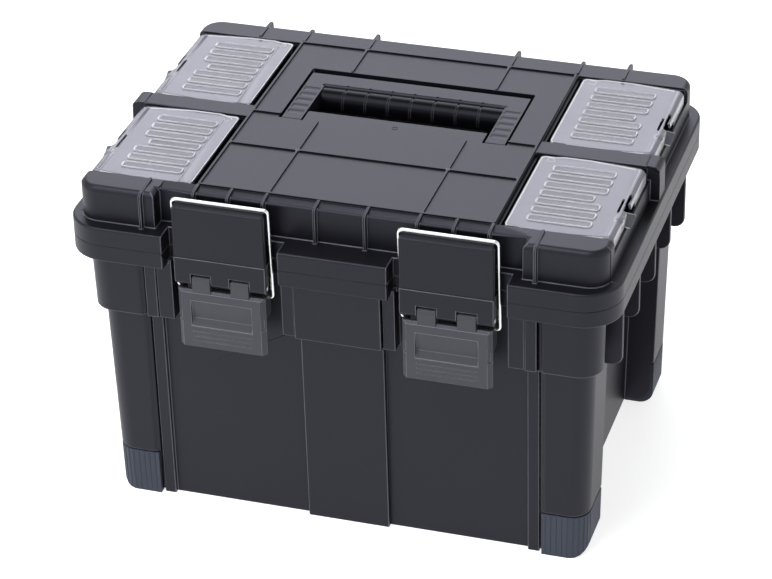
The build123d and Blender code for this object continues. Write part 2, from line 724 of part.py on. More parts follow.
# Organiser bins and covers, one of each in every corner of the lid
for side_x, side_y in corners:
    place_name = f"{end_names[side_y]}_{side_names[side_x]}"
    well_outer = lid_body_width / 2 - lid_wall
    bin_bottom = well_floor_top - bin_depth
    bin_rim = cover_top - cover_plate - flap_gap
    bin_inner = well_inner + bin_fit
    bin_outer = well_outer - bin_fit
    pintle_far = well_end - bin_fit - bin_wall
    pintle_near = well_start + bin_fit + bin_wall

    with BuildPart() as bin_shell:
        span_box((side_x * bin_inner, side_x * bin_outer),
                 (side_y * (well_start + bin_fit), side_y * (well_end - bin_fit)),
                 (bin_bottom, well_floor_top))
        # Its inner and end walls rise round the cover's hinge
        span_box((side_x * bin_inner, side_x * (bin_outer - cover_flap - cover_round)),
                 (side_y * (well_start + bin_fit), side_y * (well_end - bin_fit)), (well_floor_top, bin_rim))
        span_box((side_x * (bin_inner + bin_wall), side_x * (bin_outer - bin_wall)),
                 (side_y * pintle_near, side_y * pintle_far), (bin_bottom + bin_wall, lid_top), Mode.SUBTRACT)
        with Locations((side_x * pintle_x, 0, pintle_z)):
            Cylinder(pintle_radius + pintle_clearance, flange_depth, rotation=(90, 0, 0), mode=Mode.SUBTRACT)
    bin_shell.part.label = f"{place_name}_bin"
    export_step(bin_shell.part, f"parts/{place_name}_bin.step")

    # Cover: a plate that rolls down into an outer flap, with a clip tongue in the flap's gap
    flap_bottom = well_floor_top + flap_gap
    cover_start = well_start + cover_fit
    cover_end = well_end - cover_fit
    cover_middle = (cover_start + cover_end) / 2
    with BuildPart() as cover:
        with BuildSketch(Plane.XZ.offset(-side_y * cover_start)):
            with Locations((side_x * (cover_inner + cover_outer) / 2, (flap_bottom + cover_top) / 2)):
                Rectangle(cover_outer - cover_inner, cover_top - flap_bottom)
            fillet(vertices().sort_by_distance((0, 0, 0))[-1], cover_round)
            with Locations((side_x * (cover_inner + cover_outer) / 2 - side_x * cover_flap,
                            (flap_bottom + cover_top) / 2 - cover_plate)):
                Rectangle(cover_outer - cover_inner, cover_top - flap_bottom, mode=Mode.SUBTRACT)
            inside_corner = (side_x * (cover_outer - cover_flap), cover_top - cover_plate, 0)
            fillet(vertices().sort_by_distance(inside_corner)[0], cover_round - cover_plate)
        extrude(amount=-side_y * (cover_end - cover_start))
        # Gap in the flap, with the tongue hanging in it outside the lid's wall
        span_box((side_x * (cover_outer - cover_round), side_x * (cover_outer + overrun)),
                 (side_y * (cover_middle - tongue_notch / 2), side_y * (cover_middle + tongue_notch / 2)),
                 (flap_bottom - overrun, cover_top - cover_plate), Mode.SUBTRACT)
        tongue_inner = lid_body_width / 2 + tongue_gap
        tongue_ys = (side_y * (cover_middle - tongue_width / 2), side_y * (cover_middle + tongue_width / 2))
        span_box((side_x * (cover_outer - cover_round), side_x * (tongue_inner + tongue_plate)), tongue_ys,
                 (cover_top - cover_round, cover_top - cover_round + cover_plate))
        span_box((side_x * (cover_outer - cover_round), side_x * (cover_outer - cover_round + cover_plate)),
                 tongue_ys, (cover_top - cover_round, cover_top))
        span_box((side_x * tongue_inner, side_x * (tongue_inner + tongue_plate)), tongue_ys,
                 (cover_top - tongue_drop, cover_top - cover_round + cover_plate))
        span_box((side_x * tongue_inner, side_x * (tongue_inner + tongue_plate + tongue_lip)), tongue_ys,
                 (cover_top - tongue_drop, cover_top - tongue_drop + tongue_lip_height))
        # The inner corners are cut back so that they swing down clear of the bin's end walls
        for ear_face, edge in ((pintle_near + ear_gap, cover_start), (pintle_far - ear_gap, cover_end)):
            span_box((side_x * (cover_inner - overrun), side_x * (pintle_x + ear_relief)),
                     (side_y * ear_face, side_y * edge), (well_floor_top, lid_top), Mode.SUBTRACT)
        # Ears under the inner edge carry the pintles that turn in the bin's end walls
        for ear_face, outward in ((pintle_near + ear_gap, -1), (pintle_far - ear_gap, 1)):
            ear_ys = (side_y * ear_face, side_y * (ear_face - outward * ear_width))
            with Locations((side_x * pintle_x, sum(ear_ys) / 2, pintle_z)):
                Cylinder(ear_radius, ear_width, rotation=(90, 0, 0))
            span_box((side_x * cover_inner, side_x * (pintle_x + ear_radius)), ear_ys,
                     (pintle_z, cover_top - cover_plate))
            pintle_ys = (side_y * ear_face, side_y * (ear_face + outward * (ear_gap + pintle_reach)))
            with Locations((side_x * pintle_x, sum(pintle_ys) / 2, pintle_z)):
                Cylinder(pintle_radius, ear_gap + pintle_reach, rotation=(90, 0, 0))
        # Raised ridges across the plate
        with BuildSketch(Plane.XY.offset(cover_top)):
            with Locations((side_x * (cover_inner + ridge_start + ridge_length / 2), side_y * cover_middle)):
                with GridLocations(0, ridge_pitch, 1, ridge_count):
                    SlotOverall(ridge_length, ridge_width)
        extrude(amount=ridge_height)
    cover.part.label = f"{place_name}_cover"
    export_step(cover.part, f"parts/{place_name}_cover.step")

# Handle frame: two arms, a rear bar and a rod that carries the grip
handle_top = lid_top - handle_sink
grip_y = handle_back - handle_bar_depth - grip_back_gap - grip_radius
grip_z = handle_top - grip_radius
arm_inner = handle_width / 2 - arm_width
with BuildPart() as handle:
    for side in sides:
        arm_xs = (side * arm_inner, side * handle_width / 2)
        span_box(arm_xs, (pivot_place, handle_back), (handle_top - arm_thickness, handle_top))
        rod_along_x(*arm_xs, pivot_place, pivot_z, arm_thickness / 2)
    span_box((-arm_inner, arm_inner), (handle_back - handle_bar_depth, handle_back),
             (handle_top - handle_bar_thickness, handle_top))
    fillet(handle.faces().sort_by(Axis.Z)[-1].edges().filter_by(GeomType.LINE), handle_edge_round)
    rod_along_x(-arm_inner, arm_inner, grip_y, grip_z, grip_core_radius)
    for side in sides:
        rod_along_x(side * arm_inner, side * (recess_width / 2 + trunnion_reach), pivot_place, pivot_z,
                    trunnion_radius)
handle.part.label = "handle_frame"
export_step(handle.part, "parts/handle_frame.step")

# Grip: a sleeve on the rod, swelling into rings with grooves between them
grip_length = 2 * (arm_inner - grip_end_gap)
ring_pitch = grip_length / grip_rings
with BuildPart() as grip:
    rod_along_x(-grip_length / 2, grip_length / 2, grip_y, grip_z, grip_radius - grip_groove)
    for step in range(grip_rings):
        ring_start = -grip_length / 2 + step * ring_pitch + grip_ring_gap / 2
        rod_along_x(ring_start, ring_start + ring_pitch - grip_ring_gap, grip_y, grip_z, grip_radius)
    rod_along_x(-grip_length, grip_length, grip_y, grip_z, grip_core_radius + grip_fit, Mode.SUBTRACT)
grip.part.label = "handle_grip"
export_step(grip.part, "parts/handle_grip.step")
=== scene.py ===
import bpy
import bmesh
import json
import math
from mathutils import Matrix, Vector
from mathutils.bvhtree import BVHTree


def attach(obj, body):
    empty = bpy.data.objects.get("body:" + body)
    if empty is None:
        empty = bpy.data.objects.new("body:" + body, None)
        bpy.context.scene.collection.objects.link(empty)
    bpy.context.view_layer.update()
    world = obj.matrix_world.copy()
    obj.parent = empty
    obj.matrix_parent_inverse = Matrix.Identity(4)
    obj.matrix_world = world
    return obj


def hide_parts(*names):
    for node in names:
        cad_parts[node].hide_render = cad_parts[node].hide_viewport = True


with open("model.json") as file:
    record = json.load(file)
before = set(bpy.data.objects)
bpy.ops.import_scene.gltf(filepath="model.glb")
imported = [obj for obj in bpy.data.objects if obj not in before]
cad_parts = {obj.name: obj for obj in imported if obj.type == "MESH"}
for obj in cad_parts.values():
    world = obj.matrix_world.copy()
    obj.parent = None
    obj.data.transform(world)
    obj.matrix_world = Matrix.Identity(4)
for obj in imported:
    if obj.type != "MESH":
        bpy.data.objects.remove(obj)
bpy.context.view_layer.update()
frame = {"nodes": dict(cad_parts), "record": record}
nodes = frame["nodes"]
bpy.ops.object.select_all(action="DESELECT")
print("frame loaded:", len(nodes), "nodes")

sides = {"left": -1, "right": 1}
ends = {"front": -1, "rear": 1}
mm = 0.001
organiserStep = 140.0  # from a front organiser to the rear one
same, slack, apart = 0.01, 0.1, 1.0  # so close is one place, near enough, clearly elsewhere
facing, level = 0.9, 0.99  # a normal with this share of an axis looks along it
tall = 5.0  # an upright edge is longer than this


# shader helpers

def newMaterial(name):
    mat = bpy.data.materials.new(name)
    mat.use_nodes = True
    tree = mat.node_tree
    shader = tree.nodes["Principled BSDF"]
    return mat, tree, shader


def addNode(tree, kind, **values):
    node = tree.nodes.new(kind)
    for key, value in values.items():
        if hasattr(node, key):
            setattr(node, key, value)
        else:
            node.inputs[key].default_value = value
    return node


def wire(source, output, target, socket):
    source.id_data.links.new(source.outputs[output], target.inputs[socket])


def newGroup(name, inputs, outputs):
    group = bpy.data.node_groups.new(name, "ShaderNodeTree")
    for label, kind, value in inputs:
        socket = group.interface.new_socket(label, in_out="INPUT", socket_type=kind)
        if value is not None:
            socket.default_value = value
    for label, kind in outputs:
        group.interface.new_socket(label, in_out="OUTPUT", socket_type=kind)
    return group, group.nodes.new("NodeGroupInput"), group.nodes.new("NodeGroupOutput")


def useGroup(tree, group, **values):
    return addNode(tree, "ShaderNodeGroup", node_tree=group, **values)


def addTint(tree, **colours):
    return addNode(tree, "ShaderNodeMix", data_type="RGBA", **{key: (*rgb, 1) for key, rgb in colours.items()})


def addRange(tree, low, high, **values):
    return addNode(tree, "ShaderNodeMapRange", **{"To Min": low, "To Max": high}, **values)


# fine spark-eroded grain of a mould, with slow flow marks under it
grainSet = {"grain": 1400.0, "flow": 9.0, "grainDetail": 3.0, "grainRough": 0.65, "pits": 0.5,
            "flowDetail": 2.0, "flowRough": 0.5}


def buildGrain():
    g = grainSet
    group, gin, gout = newGroup(
        "mouldGrain",
        [("Vector", "NodeSocketVector", None), ("Grain Scale", "NodeSocketFloat", g["grain"]),
         ("Flow Scale", "NodeSocketFloat", g["flow"])],
        [("Grain", "NodeSocketFloat"), ("Flow", "NodeSocketFloat")])
    grain = addNode(group, "ShaderNodeTexNoise", Detail=g["grainDetail"], Roughness=g["grainRough"])
    pits = addNode(group, "ShaderNodeTexVoronoi")
    mix = addNode(group, "ShaderNodeMath", operation="MULTIPLY_ADD")
    mix.inputs[1].default_value = g["pits"]
    flow = addNode(group, "ShaderNodeTexNoise", Detail=g["flowDetail"], Roughness=g["flowRough"])
    for texture, scale in ((grain, "Grain Scale"), (pits, "Grain Scale"), (flow, "Flow Scale")):
        wire(gin, "Vector", texture, "Vector")
        wire(gin, scale, texture, "Scale")
    wire(pits, "Distance", mix, 0)
    wire(grain, "Fac", mix, 2)
    wire(mix, "Value", gout, "Grain")
    wire(flow, "Fac", gout, "Flow")
    return group


grainGroup = buildGrain()


# eased edges carry a mask: there the plastic gets a painted highlight in a lighter colour and is smoother, in
# places more than in others
edgeHighlightSet = {"rough": 0.5, "edgeRough": 0.3, "patch": 35.0, "patchDetail": 2.0, "least": 0.4}


def buildEdgeHighlight():
    e = edgeHighlightSet
    group, gin, gout = newGroup(
        "burnishedEdge",
        [("Vector", "NodeSocketVector", None), ("Color", "NodeSocketColor", None),
         ("Edge Color", "NodeSocketColor", None), ("Roughness", "NodeSocketFloat", e["rough"]),
         ("Edge Roughness", "NodeSocketFloat", e["edgeRough"])],
        [("Color", "NodeSocketColor"), ("Roughness", "NodeSocketFloat")])
    highlightMask = addNode(group, "ShaderNodeAttribute", attribute_name="burnish")
    patch = addNode(group, "ShaderNodeTexNoise", Scale=e["patch"], Detail=e["patchDetail"])
    vary = addRange(group, e["least"], 1)
    amount = addNode(group, "ShaderNodeMath", operation="MULTIPLY")
    tint = addNode(group, "ShaderNodeMix", data_type="RGBA")
    rough = addNode(group, "ShaderNodeMix", data_type="FLOAT")
    wire(gin, "Vector", patch, "Vector")
    wire(patch, "Fac", vary, "Value")
    wire(highlightMask, "Fac", amount, 0)
    wire(vary, "Result", amount, 1)
    # the masked edges take the lighter edge colour as a painted highlight
    for blend, plain in ((tint, "Color"), (rough, "Roughness")):
        wire(amount, "Value", blend, "Factor")
        wire(gin, plain, blend, "A")
        wire(gin, "Edge " + plain, blend, "B")
        wire(blend, "Result", gout, plain)
    return group


edgeHighlightGroup = buildEdgeHighlight()


# the "edge" colour of each finish is a painted highlight on its eased edges
finishSet = {
    "shellPlastic": {"dark": (0.0034, 0.0034, 0.005), "light": (0.005, 0.005, 0.0068), "rough": (0.34, 0.46),
                     "edge": (0.12, 0.12, 0.14), "edgeRough": 0.26, "grain": 1400, "bump": 0.25, "depth": 0.2,
                     "gloss": 0.34},
    "latchPlastic": {"dark": (0.0032, 0.0032, 0.0046), "light": (0.0046, 0.0046, 0.0062), "rough": (0.32, 0.42),
                     "edge": (0.17, 0.17, 0.19), "edgeRough": 0.24, "grain": 1800, "bump": 0.12, "depth": 0.1,
                     "gloss": 0.32},
    "leverPlastic": {"dark": (0.046, 0.046, 0.052), "light": (0.056, 0.056, 0.062), "rough": (0.4, 0.5),
                     "edge": (0.24, 0.24, 0.26), "edgeRough": 0.3, "grain": 1600, "bump": 0.15, "depth": 0.1,
                     "gloss": 0.38},
    "footRubber": {"dark": (0.034, 0.042, 0.056), "light": (0.043, 0.052, 0.067), "rough": (0.5, 0.65),
                   "edge": (0.16, 0.19, 0.23), "edgeRough": 0.45, "grain": 1200, "bump": 0.3, "depth": 0.2,
                   "gloss": 0.4},
    "handlePlastic": {"dark": (0.005, 0.005, 0.007), "light": (0.007, 0.007, 0.0092), "rough": (0.34, 0.46),
                      "edge": (0.12, 0.12, 0.14), "edgeRough": 0.26, "grain": 1400, "bump": 0.2, "depth": 0.2,
                      "gloss": 0.34},
    "gripPlastic": {"dark": (0.0026, 0.0026, 0.0036), "light": (0.0036, 0.0036, 0.005), "rough": (0.24, 0.32),
                    "edge": (0.06, 0.06, 0.07), "edgeRough": 0.22, "grain": 1600, "bump": 0.1, "depth": 0.1,
                    "gloss": 0.09},
    "coolGloss": (0.8, 0.8, 1.0)}


def plastic(name):
    f = finishSet[name]
    mat, tree, shader = newMaterial(name)
    coords = addNode(tree, "ShaderNodeTexCoord")
    grain = useGroup(tree, grainGroup, **{"Grain Scale": f["grain"], "Flow Scale": grainSet["flow"]})
    wire(coords, "Object", grain, "Vector")
    tint = addTint(tree, A=f["dark"], B=f["light"])
    wire(grain, "Flow", tint, "Factor")
    rough = addRange(tree, *f["rough"])
    wire(grain, "Grain", rough, "Value")
    edge = useGroup(tree, edgeHighlightGroup, **{"Edge Color": (*f["edge"], 1), "Edge Roughness": f["edgeRough"]})
    wire(coords, "Object", edge, "Vector")
    wire(tint, "Result", edge, "Color")
    wire(rough, "Result", edge, "Roughness")
    wire(edge, "Color", shader, "Base Color")
    wire(edge, "Roughness", shader, "Roughness")
    bump = addNode(tree, "ShaderNodeBump", Strength=f["bump"], Distance=f["depth"] * mm)
    wire(grain, "Grain", bump, "Height")
    wire(bump, "Normal", shader, "Normal")
    shader.inputs["Specular IOR Level"].default_value = f["gloss"]
    shader.inputs["Specular Tint"].default_value = (*finishSet["coolGloss"], 1)
    return mat


wireSet = {"streak": (900, 900, 40), "detail": 2.0, "rough": (0.12, 0.28), "dark": (0.64, 0.66, 0.64),
           "light": (0.76, 0.78, 0.76)}


# plated wire, with faint drawing streaks along it
def brightWire():
    mat, tree, shader = newMaterial("platedWire")
    coords = addNode(tree, "ShaderNodeTexCoord")
    stretch = addNode(tree, "ShaderNodeMapping")
    stretch.inputs["Scale"].default_value = wireSet["streak"]
    streak = addNode(tree, "ShaderNodeTexNoise", Scale=1.0, Detail=wireSet["detail"])
    rough = addRange(tree, *wireSet["rough"])
    tint = addTint(tree, A=wireSet["dark"], B=wireSet["light"])
    wire(coords, "Object", stretch, "Vector")
    wire(stretch, "Vector", streak, "Vector")
    wire(streak, "Fac", rough, "Value")
    wire(streak, "Fac", tint, "Factor")
    wire(rough, "Result", shader, "Roughness")
    wire(tint, "Result", shader, "Base Color")
    shader.inputs["Metallic"].default_value = 1.0
    return mat


# "dish" is a painted shade colour for the dished faces, "rim" a painted highlight colour for the rims
clearSet = {"grain": 500.0, "flow": 30.0, "dark": (0.185, 0.185, 0.225), "light": (0.25, 0.25, 0.3),
            "dish": (0.1, 0.1, 0.125), "rim": (0.92, 0.92, 0.95), "rough": (0.14, 0.22), "clear": 0.4,
            "ior": 1.49}


def clearPlastic():
    c = clearSet
    mat, tree, shader = newMaterial("clearCover")
    coords = addNode(tree, "ShaderNodeTexCoord")
    grain = useGroup(tree, grainGroup, **{"Grain Scale": c["grain"], "Flow Scale": c["flow"]})
    wire(coords, "Object", grain, "Vector")
    tint = addTint(tree, A=c["dark"], B=c["light"])
    wire(grain, "Flow", tint, "Factor")
    # painted shade darkens the dished panels, so that they look deeper, and a painted highlight lightens the rims
    # of the clear plastic
    dish = addNode(tree, "ShaderNodeAttribute", attribute_name="dish")
    paintedDishShade = addTint(tree, B=c["dish"])
    wire(dish, "Fac", paintedDishShade, "Factor")
    wire(tint, "Result", paintedDishShade, "A")
    rim = addNode(tree, "ShaderNodeAttribute", attribute_name="rim")
    paintedRimHighlight = addTint(tree, B=c["rim"])
    wire(rim, "Fac", paintedRimHighlight, "Factor")
    wire(paintedDishShade, "Result", paintedRimHighlight, "A")
    wire(paintedRimHighlight, "Result", shader, "Base Color")
    rough = addRange(tree, *c["rough"])
    wire(grain, "Grain", rough, "Value")
    wire(rough, "Result", shader, "Roughness")
    shader.inputs["Transmission Weight"].default_value = c["clear"]
    shader.inputs["IOR"].default_value = c["ior"]
    return mat


slotMats = {"shell": plastic("shellPlastic"), "latch": plastic("latchPlastic"), "lever": plastic("leverPlastic"),
            "foot": plastic("footRubber"), "handle": plastic("handlePlastic"), "grip": plastic("gripPlastic"),
            "wire": brightWire(), "cover": clearPlastic()}
slotMats["pin"] = slotMats["wire"]
slotOf = {entry["node"]: entry["material_slot"] for entry in frame["record"]["subparts"]}
bodyOf = {node: body for body, held in frame["record"]["behaviour"]["bodies"].items() for node in held}
for nodeName, slot in slotOf.items():
    for place in nodes[nodeName].material_slots:
        place.material = slotMats[slot]
print("materials on the carried-over nodes")


# selection and modelling helpers, places in millimetres

def camel(nodeName):
    first, *rest = nodeName.split("_")
    return first + "".join(word.capitalize() for word in rest)


def bareSelection():
    if bpy.context.mode != "OBJECT":
        bpy.ops.object.mode_set(mode="OBJECT")
    bpy.ops.object.select_all(action="DESELECT")


def makeActive(piece):
    bareSelection()
    piece.select_set(True)
    bpy.context.view_layer.objects.active = piece


def addBox(name, low, high):
    bareSelection()
    low, high = Vector(low) * mm, Vector(high) * mm
    bpy.ops.mesh.primitive_cube_add(size=1, location=(low + high) / 2)
    piece = bpy.context.object
    piece.name = piece.data.name = name
    piece.scale = high - low
    bpy.ops.object.transform_apply(location=True, rotation=True, scale=True)
    return piece


def addRod(name, start, end, radius, vertices=32):
    bareSelection()
    start, end = Vector(start) * mm, Vector(end) * mm
    bpy.ops.mesh.primitive_cylinder_add(vertices=vertices, radius=radius * mm, depth=(end - start).length,
                                        location=(start + end) / 2)
    piece = bpy.context.object
    piece.name = piece.data.name = name
    piece.rotation_euler = (end - start).to_track_quat("Z", "Y").to_euler()
    bpy.ops.object.transform_apply(location=True, rotation=True, scale=True)
    return piece


def pick(piece, kind, test):
    makeActive(piece)
    bpy.ops.object.mode_set(mode="EDIT")
    bpy.ops.mesh.select_mode(type=kind)
    bpy.ops.mesh.select_all(action="DESELECT")
    work = bmesh.from_edit_mesh(piece.data)
    work.normal_update()
    if kind == "FACE":
        for face in work.faces:
            face.select_set(test(face.calc_center_median() / mm, face.normal))
    elif kind == "EDGE":
        for edge in work.edges:
            edge.select_set(test(edge.verts[0].co / mm, edge.verts[1].co / mm))
    else:
        for vert in work.verts:
            vert.select_set(test(vert.co / mm))
    work.select_flush_mode()
    bmesh.update_edit_mesh(piece.data)


def pickAll(piece):
    makeActive(piece)
    bpy.ops.object.mode_set(mode="EDIT")
    bpy.ops.mesh.select_mode(type="FACE")
    bpy.ops.mesh.select_all(action="SELECT")


def upright(a, b):
    return abs(a.z - b.z) > tall


def bevelEdges(piece, test, width, segments=3):
    pick(piece, "EDGE", test)
    bpy.ops.mesh.bevel(offset=width * mm, segments=segments, affect="EDGES", clamp_overlap=True)
    bareSelection()


def cutAt(piece, axis, places):
    for place in places:
        pickAll(piece)
        point = [0, 0, 0]
        normal = [0, 0, 0]
        point[axis] = place * mm
        normal[axis] = 1
        bpy.ops.mesh.bisect(plane_co=point, plane_no=normal)
    bareSelection()


def pullFaces(piece, test, shift):
    pick(piece, "FACE", test)
    bpy.ops.mesh.extrude_region_move(TRANSFORM_OT_translate={"value": Vector(shift) * mm})
    bareSelection()


def sinkFaces(piece, test, edge, depth):
    pick(piece, "FACE", test)
    bpy.ops.mesh.inset(thickness=edge * mm, depth=-depth * mm)
    bareSelection()


def moveVerts(piece, test, shift):
    pick(piece, "VERT", test)
    bpy.ops.transform.translate(value=Vector(shift) * mm)
    bareSelection()


def dropFaces(piece, test):
    pick(piece, "FACE", test)
    bpy.ops.mesh.delete(type="FACE")
    bareSelection()


def applyModifier(piece, kind, **values):
    makeActive(piece)
    modifier = piece.modifiers.new(kind.lower(), kind)
    for key, value in values.items():
        setattr(modifier, key, value)
    bpy.ops.object.modifier_apply(modifier=modifier.name)


def cleanMesh(piece):
    pickAll(piece)
    bpy.ops.mesh.remove_doubles(threshold=easeSet["merge"] * mm)
    bpy.ops.mesh.dissolve_degenerate(threshold=easeSet["merge"] * mm)
    bareSelection()


def cutOrJoin(piece, others, operation):
    cleanMesh(piece)
    for other in others:
        cleanMesh(other)
        applyModifier(piece, "BOOLEAN", object=other, operation=operation, solver="MANIFOLD")
        bpy.data.objects.remove(other, do_unlink=True)


def softEdges(piece, width, segments=2, angle=35):
    applyModifier(piece, "BEVEL", width=width * mm, segments=segments, limit_method="ANGLE",
                  angle_limit=math.radians(angle), use_clamp_overlap=True)


# easing of sharp edges: "room" and "stray" are shares of its width
easeSet = {"merge": 0.002, "flatAngle": 1.0, "room": 2.4, "rounds": 4, "goesOn": -0.5, "inLine": -0.97,
           "stray": 0.6, "square": 0.9999, "weight": 90}


# marks the sharp edges that have room to be eased
def weighEdges(piece, width, angle):
    work = bmesh.new()
    work.from_mesh(piece.data)
    weight = work.edges.layers.float.new("bevel_weight_edge")
    room = easeSet["room"] * width * mm
    chosen = {edge for edge in work.edges if edge.calc_face_angle(0) > math.radians(angle)}

    def fits(edge):
        for vert in edge.verts:
            along = (edge.other_vert(vert).co - vert.co).normalized()
            meeting = sum(other in chosen for other in vert.link_edges) > 1
            for other in vert.link_edges:
                if meeting and other.calc_face_angle(0) < math.radians(easeSet["flatAngle"]):
                    continue
                across = other.other_vert(vert).co - vert.co
                turn = along.dot(across.normalized())
                straight = turn < easeSet["goesOn" if other in chosen else "inLine"]
                if other is edge or straight:
                    continue
                if across.length * math.sqrt(max(0, 1 - turn * turn)) < room:
                    return False
        return True

    for _ in range(easeSet["rounds"]):
        chosen = {edge for edge in chosen if fits(edge)}
    for edge in chosen:
        edge[weight] = 1.0
    work.to_mesh(piece.data)
    work.free()


# points that easing threw off the old surface go back to it
def settlePoints(mesh, before, reach):
    tree = BVHTree.FromPolygons([vert.co for vert in before.vertices],
                                [tuple(face.vertices) for face in before.polygons])
    strays = 0
    for vert in mesh.vertices:
        spot, _, _, far = tree.find_nearest(vert.co)
        if far > reach:
            vert.co = spot
            strays += 1
    bpy.data.meshes.remove(before)
    print("stray points settled", strays, "of", len(mesh.vertices))


# eases edges and leaves a mask on the faces that this makes, where the material paints a highlight
def easeAndHighlightEdges(piece, width, segments=2, angle=35, weighed=False):
    mesh = piece.data
    limit = {"limit_method": "ANGLE", "angle_limit": math.radians(angle), "use_clamp_overlap": True}
    if weighed:
        weighEdges(piece, width, angle)
        before = mesh.copy()
        limit = {"limit_method": "WEIGHT", "use_clamp_overlap": False}
    mesh.materials.clear()
    mesh.materials.append(None)
    mesh.materials.append(None)
    applyModifier(piece, "BEVEL", width=width * mm, segments=segments, material=1,
                  face_strength_mode="FSTR_ALL", **limit)
    if weighed:
        settlePoints(mesh, before, easeSet["stray"] * width * mm)
    highlightMask = mesh.attributes.new("burnish", "FLOAT", "FACE")
    for face in mesh.polygons:
        highlightMask.data[face.index].value = face.material_index
        face.material_index = 0
    mesh.materials.clear()


def shadeByAngle(piece, angle=32):
    makeActive(piece)
    bpy.ops.object.shade_smooth_by_angle(angle=math.radians(angle))
    applyModifier(piece, "WEIGHTED_NORMAL", mode="FACE_AREA", weight=easeSet["weight"], keep_sharp=True,
                  use_face_influence=True)
    bareSelection()


# faces square to an axis are shaded flat, so that a tiny fillet at a corner does not tint a wide face
def squareNormals(piece):
    mesh = piece.data
    normals = [corner.vector.copy() for corner in mesh.corner_normals]
    for face in mesh.polygons:
        if max(abs(v) for v in face.normal) > easeSet["square"]:
            for loop in face.loop_indices:
                normals[loop] = face.normal.copy()
    mesh.normals_split_custom_set(normals)


def copyPiece(source, name, turn):
    mesh = source.data.copy()
    mesh.transform(turn)
    if turn.determinant() < 0:
        mesh.flip_normals()
    mesh.name = name
    piece = bpy.data.objects.new(name, mesh)
    bpy.context.scene.collection.objects.link(piece)
    return piece


def dress(piece, node):
    slot, body = slotOf[node], bodyOf[node]
    piece.data.materials.clear()
    piece.data.materials.append(slotMats[slot])
    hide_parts(node)
    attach(piece, body)


flip = {(1, -1): Matrix.Identity(4), (-1, -1): Matrix.Diagonal((-1, 1, 1, 1)),
        (1, 1): Matrix.Diagonal((1, -1, 1, 1)), (-1, 1): Matrix.Diagonal((-1, -1, 1, 1))}


# a piece modelled at the front right also goes to the other corners
def dressCorners(source, kind, finish, turnTo):
    for endName, sideY in ends.items():
        for sideName, sideX in sides.items():
            node = "_".join((endName, sideName, kind))
            piece = source
            if (sideX, sideY) != (1, -1):
                piece = copyPiece(source, camel(node) + finish, turnTo(sideX, sideY))
            dress(piece, node)


# moulded shells: the CAD shape with its sharp edges eased
shellSet = {"ease": {"base_shell": 0.8, "lid_shell": 0.75, "left_latch_keeper": 0.7, "right_latch_keeper": 0.7,
                     "left_latch_mount": 0.7, "right_latch_mount": 0.7},
            "weighed": ("base_shell", "lid_shell")}

# long walls: each rib move has its reach along X, its lowest place and its shift
wallSet = {"ribMoves": ((148.9, 150.1, 0, 2.0), (156.9, 158.1, 0, 3.7), (146.5, 147.5, 0, 4.2),
                        (37.3, 38.3, 0, -1.2), (162.9, 164.2, 40.5, -1.5)),
           "from": 137.0, "flareSpan": (150.0, 162.5), "flareFoot": 148.0, "flareReach": 0.5, "flareRise": 28.0,
           "flareOut": 0.7, "panelEdge": (34.3, 34.7), "panelTop": 179.1, "panelOut": 2.0, "foot": 139.7,
           "lean": 0.0251}

# lower ends of the corner posts, rounded inside the feet
postSet = {"side": 197.2, "foot": 3.0, "round": 9.9, "span": (90.0, 160.0), "spare": 8.0, "overrun": 5.0,
           "steps": 64}


# the ribs on the long walls stand closer to the posts, and the posts are rounded inside the feet
def fitBase(piece):
    w, post = wallSet, postSet
    for low, high, fromZ, shift in w["ribMoves"]:
        for side in sides.values():
            moveVerts(piece, lambda p: low < p.x * side < high and p.z >= fromZ and abs(p.y) > w["from"],
                      (side * shift, 0, 0))
    low, high = w["flareSpan"]
    for side in ends.values():
        moveVerts(piece, lambda p: low < abs(p.x) < high and abs(p.z - w["flareFoot"]) < w["flareReach"]
                  and p.y * side > w["from"], (0, side * w["flareOut"], w["flareRise"]))
    low, high = w["panelEdge"]
    for side in ends.values():
        moveVerts(piece, lambda p: low < abs(p.x) < high and p.z < w["panelTop"]
                  and p.y * side > w["foot"] + w["lean"] * p.z, (0, side * w["panelOut"], 0))
    inner, outer = post["side"] - post["round"], post["side"] + post["spare"]
    middle = post["foot"] + post["round"]
    cutters = []
    for sideX in sides.values():
        for sideY in ends.values():
            xs, ys = sorted((sideX * inner, sideX * outer)), sorted(sideY * y for y in post["span"])
            cutter = addBox("postCutter", (xs[0], ys[0], post["foot"] - post["spare"]), (xs[1], ys[1], middle))
            core = addRod("postCore", (sideX * inner, ys[0] - post["overrun"], middle),
                          (sideX * inner, ys[1] + post["overrun"], middle), post["round"], post["steps"])
            cutOrJoin(cutter, [core], "DIFFERENCE")
            cutters.append(cutter)
    cutOrJoin(piece, cutters, "DIFFERENCE")


# organiser openings and front edge of the lid
lidSet = {"frontEdge": (-142.0, 290.0), "frontRound": 2.4, "wellSpan": (9.5, 130.5), "wellReach": (122.0, 212.4),
          "lipFit": 0.06, "lip": 1.5, "lipHeight": (279.0, 290.0),
          "notchX": (212.6, 222.0), "notchY": (-75.0, -67.0), "notchZ": (279.0, 290.0)}


